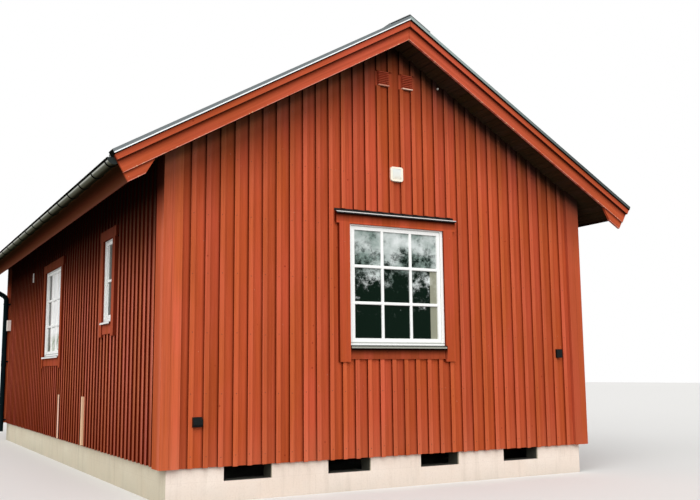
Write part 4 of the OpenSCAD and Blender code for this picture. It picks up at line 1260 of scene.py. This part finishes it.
def screwMesh(side):
    # Centres down the slope by along the ribs, at the ribs' top
    low, high = corners("roof_sheet_left")
    ribs = np.arange(low[1] + screwLook["first"], high[1], screwLook["pitch"])
    down, along = (grid.ravel() for grid in np.meshgrid(screwLook["rows"], ribs))
    x, z = onSlope(side, down, screwLook["ribTop"])
    return studs(np.stack([x, along, z], axis=1), (side * sinPitch, 0, cosPitch),
                 screwLook["radius"], screwLook["height"])


for hand, side in (("left", -1), ("right", 1)):
    addPiece("screws_" + hand, *screwMesh(side), steel, "grey_sheet")


# Door: upright boards over the leaf, and a plate by its edge

doorLook = {"board": 0.118, "gap": 0.003, "out": 0.012, "chamfer": 0.005, "short": 0.004,
            "plate": (0.004, 0.042, 0.170), "plateIn": 0.0675, "plateUp": 1.0,
            "plateCut": 0.0015}
leafLow, leafHigh = corners("door")


def doorBoards():
    # Boards of equal width across the leaf, with open V joints between them
    count = int(round((leafHigh[1] - leafLow[1]) / doorLook["board"]))
    edges = np.linspace(leafLow[1], leafHigh[1], count + 1)
    lows = np.stack([np.full(count, rightX), edges[:-1] + doorLook["gap"] / 2,
                     np.full(count, leafLow[2] + doorLook["short"])], axis=1)
    highs = np.stack([np.full(count, rightX + doorLook["out"]), edges[1:] - doorLook["gap"] / 2,
                      np.full(count, leafHigh[2] - doorLook["short"])], axis=1)
    return bars(lows, highs, doorLook["chamfer"], (0, 1))


def doorPlate():
    # A plate centred on its place, standing out from the boards
    centre = np.array([rightX + doorLook["out"] - hair, leafHigh[1] - doorLook["plateIn"],
                       leafLow[2] + doorLook["plateUp"]])
    reach = np.array(doorLook["plate"]) / (1, 2, 2)
    return bars(centre - reach * (0, 1, 1), centre + reach, doorLook["plateCut"], (0, 1))


addPiece("door_boards", *doorBoards(), doorRed, "door_boards")
addPiece("door_plate", *doorPlate(), steel, "door_boards")


# Fittings on the left wall: a cream box by the far corner, a pale strip under the eaves, and two
# lengths of new batten that are not painted yet

wallBits = {"boxAt": (9.72, 2.05), "boxSize": (0.14, 0.20, 0.085),
            "stripAt": (7.33, 2.75), "stripSize": (0.045, 0.15, 0.030), "stripCut": 0.002,
            "newAt": (3.36, 4.86), "newFoot": 0.005, "newWider": 0.002,
            "newHigh": 0.60, "newOut": 0.029}


def leftBit(along, foot, wide, high, out, chamfer=0.004):
    # A block on the left wall: its place from the front and from the ground, then its sizes
    low = np.array([leftX - out, frontY + along, foot])
    return bars(low, low + (out, wide, high), chamfer, (0, -1))


def newBattens():
    # Each covers the batten that is nearest to its place
    parts = []
    for place in wallBits["newAt"]:
        count = round((frontY + place - sideStart) / battens["module"])
        nearest = sideStart + battens["module"] * count
        parts.append(leftBit(nearest - frontY - hair, boardFoot + wallBits["newFoot"],
                             battens["width"] + wallBits["newWider"], wallBits["newHigh"],
                             wallBits["newOut"]))
    return joined(parts)


addPiece("wall_box", *leftBit(*wallBits["boxAt"], *wallBits["boxSize"]), paleFitting,
         "hood_plastic")
addPiece("wall_strip",
         *leftBit(*wallBits["stripAt"], *wallBits["stripSize"], wallBits["stripCut"]),
         paleFitting, "hood_plastic")
addPiece("new_battens", *newBattens(), newWood, "red_boards")

# A pale peg on the gable's boards, just under the right slope
peg = {"at": (0.589, 4.435), "radius": 0.015, "height": 0.012, "sides": 12}
pegAt = np.array([[midX + peg["at"][0], frontY, peg["at"][1]]])
addPiece("gable_peg", *studs(pegAt, (0.0, -1.0, 0.0), peg["radius"], peg["height"], peg["sides"]),
         paleFitting, "hood_plastic")


# Downpipe: a socket joint half way up

pipeLook = {"at": 1.38, "high": 0.07, "out": 0.004, "lead": 0.003, "steps": 40}


def pipeJoint():
    # Rings about the pipe's middle: out, up, in
    low, high = corners("downpipe")
    centre, radius = (low + high) / 2, (high[1] - low[1]) / 2
    angles = np.linspace(0, 2 * math.pi, pipeLook["steps"], endpoint=False)
    tall, lead, out = pipeLook["high"], pipeLook["lead"], pipeLook["out"]
    rings = np.empty((1, 4, len(angles), 3))
    for k, (up, wider) in enumerate(((0.0, 0.0), (lead, out), (tall - lead, out), (tall, 0.0))):
        rings[0, k, :, 0] = centre[0] + (radius - hair + wider) * np.cos(angles)
        rings[0, k, :, 1] = centre[1] + (radius - hair + wider) * np.sin(angles)
        rings[0, k, :, 2] = pipeLook["at"] + up
    return prisms(rings)


addPiece("pipe_joint", *pipeJoint(), pipeBlack, "pipe_metal")
print("screws, door, fittings and pipe joint")


# Camera and stage

view = {"yaw": 28.987, "pitch": 7.911, "roll": -0.560, "lens": 45.33, "sensor": 36,
        "right": -5.0727, "back": 8.0972, "high": 1.2033}


def addCamera():
    # Looks along yaw, from the house's own direction towards its right, and up by pitch
    yaw, up, roll = (math.radians(view[key]) for key in ("yaw", "pitch", "roll"))
    ahead = Vector((math.sin(yaw) * math.cos(up), math.cos(yaw) * math.cos(up), math.sin(up)))
    level = Vector((math.cos(yaw), -math.sin(yaw), 0))
    over = level.cross(ahead)
    right = math.cos(roll) * level + math.sin(roll) * over
    top = -math.sin(roll) * level + math.cos(roll) * over
    data = bpy.data.cameras.new("camera")
    data.lens, data.sensor_width = view["lens"], view["sensor"]
    camera = bpy.data.objects.new("camera", data)
    bpy.context.scene.collection.objects.link(camera)
    turn = Matrix((right, top, -ahead)).transposed().to_4x4()
    stand = (midX + view["right"], frontY - view["back"], view["high"])
    camera.matrix_world = Matrix.Translation(stand) @ turn
    bpy.context.scene.camera = camera


studio = {"world": 0.52, "floor": 60, "floorTone": 0.80, "floorLight": 0.20,
          "lamps": {"soft sun": (1.5, 50, (-0.50, -0.75, 0.85)),
                    "front fill": (1.5, 60, (-0.10, -1.0, 0.20)),
                    "left fill": (1.05, 60, (-1.0, -0.20, 0.30))}}


def raysToEye(tree):
    # 1 for what the camera, a reflection or a pane sees, 0 for light on its way
    paths = tree.nodes.new("ShaderNodeLightPath")
    total = paths.outputs["Is Camera Ray"]
    for name in ("Is Glossy Ray", "Is Transmission Ray"):
        either = tree.nodes.new("ShaderNodeMath")
        either.operation = "MAXIMUM"
        tree.links.new(total, either.inputs[0])
        tree.links.new(paths.outputs[name], either.inputs[1])
        total = either.outputs[0]
    return total


def chosen(tree, first, second, out):
    # The first shader for light, the second for the eye
    choose = tree.nodes.new("ShaderNodeMixShader")
    tree.links.new(raysToEye(tree), choose.inputs[0])
    tree.links.new(first.outputs[0], choose.inputs[1])
    tree.links.new(second.outputs[0], choose.inputs[2])
    tree.links.new(choose.outputs[0], out.inputs["Surface"])


def addStage():
    # A pale floor that throws little light back up
    size = studio["floor"]
    mesh = bpy.data.meshes.new("floor")
    mesh.from_pydata([(-size, -size, 0), (size, -size, 0), (size, size, 0), (-size, size, 0)], [],
                     [(0, 1, 2, 3)])
    floorPiece = bpy.data.objects.new("stage_floor", mesh)
    bpy.context.scene.collection.objects.link(floorPiece)
    material = bpy.data.materials.new("studio floor")
    material.use_nodes = True
    tree = material.node_tree
    tree.nodes.clear()
    tones = []
    for tone in (studio["floorLight"], studio["floorTone"]):
        tones.append(tree.nodes.new("ShaderNodeBsdfDiffuse"))
        tones[-1].inputs["Color"].default_value = (tone, tone * 0.99, tone * 0.97, 1)
    chosen(tree, *tones, tree.nodes.new("ShaderNodeOutputMaterial"))
    mesh.materials.append(material)


def addLight():
    # Soft lamps from the front and left, and a world that is dim to light and white to the eye
    for name, (strength, angle, origin) in studio["lamps"].items():
        lamp = bpy.data.lights.new(name, "SUN")
        lamp.energy, lamp.angle = strength, math.radians(angle)
        sun = bpy.data.objects.new(name, lamp)
        sun.rotation_euler = Vector(origin).to_track_quat("Z", "Y").to_euler()
        bpy.context.scene.collection.objects.link(sun)
    world = bpy.data.worlds.new("studio")
    world.use_nodes = True
    tree = world.node_tree
    tree.nodes.clear()
    skies = []
    for strength in (studio["world"], 1.0):
        skies.append(tree.nodes.new("ShaderNodeBackground"))
        skies[-1].inputs["Color"].default_value = (1, 1, 1, 1)
        skies[-1].inputs["Strength"].default_value = strength
    chosen(tree, *skies, tree.nodes.new("ShaderNodeOutputWorld"))
    bpy.context.scene.world = world
    bpy.context.scene.view_settings.view_transform = "Standard"


for finish, *names in (
        (gableRed, "front_wall", "rear_wall"),
        (sideRed, "left_wall", "right_wall"),
        (blockWork(), "plinth_front", "plinth_rear", "plinth_left", "plinth_right"),
        (trimUpright, "corner_boards_front", "corner_boards_rear"),
        (gableCasing, "casings_front", "casings_rear"),
        (sideCasing, "casings_left", "casings_right", "door_frame"),
        (lowerRed, "lower_bargeboards_front", "lower_bargeboards_rear"),
        (upperRed, "upper_bargeboards_front", "upper_bargeboards_rear"),
        (footRed, "foot_boards_front", "foot_boards_rear"),
        (vergeGrey, "verge_strip_front", "verge_strip_rear"),
        (eaveRed, "fascia_left", "fascia_right"),
        (soffitRed, "roof_left", "roof_right"),
        (roofGrey, "roof_sheet_left", "roof_sheet_right", "ridge_cap"),
        (floorWood, "floor"),
        (gutterGreen, "gutter"),
        (hookBlack, "gutter_hooks"),
        (pipeBlack, "swan_neck", "downpipe", "pipe_clamps"),
        (whitePaint, "window_front", "window_rear", "windows_left", "windows_right"),
        (glassPane(), "window_glass"),
        (coverGrey, "window_flashings"),
        (doorRed, "door"),
        (ventRed, "gable_vents_front", "gable_vents_rear"),
        (hoodCream, "vent_hood"),
        (fittingBlack, "outdoor_socket", "box_lamp")):
    for name in names:
        nodes[name].data.materials.clear()
        nodes[name].data.materials.append(finish)
print("painted", len(nodes), "nodes")

addCamera()
addStage()
addLight()
print("camera, stage and light")
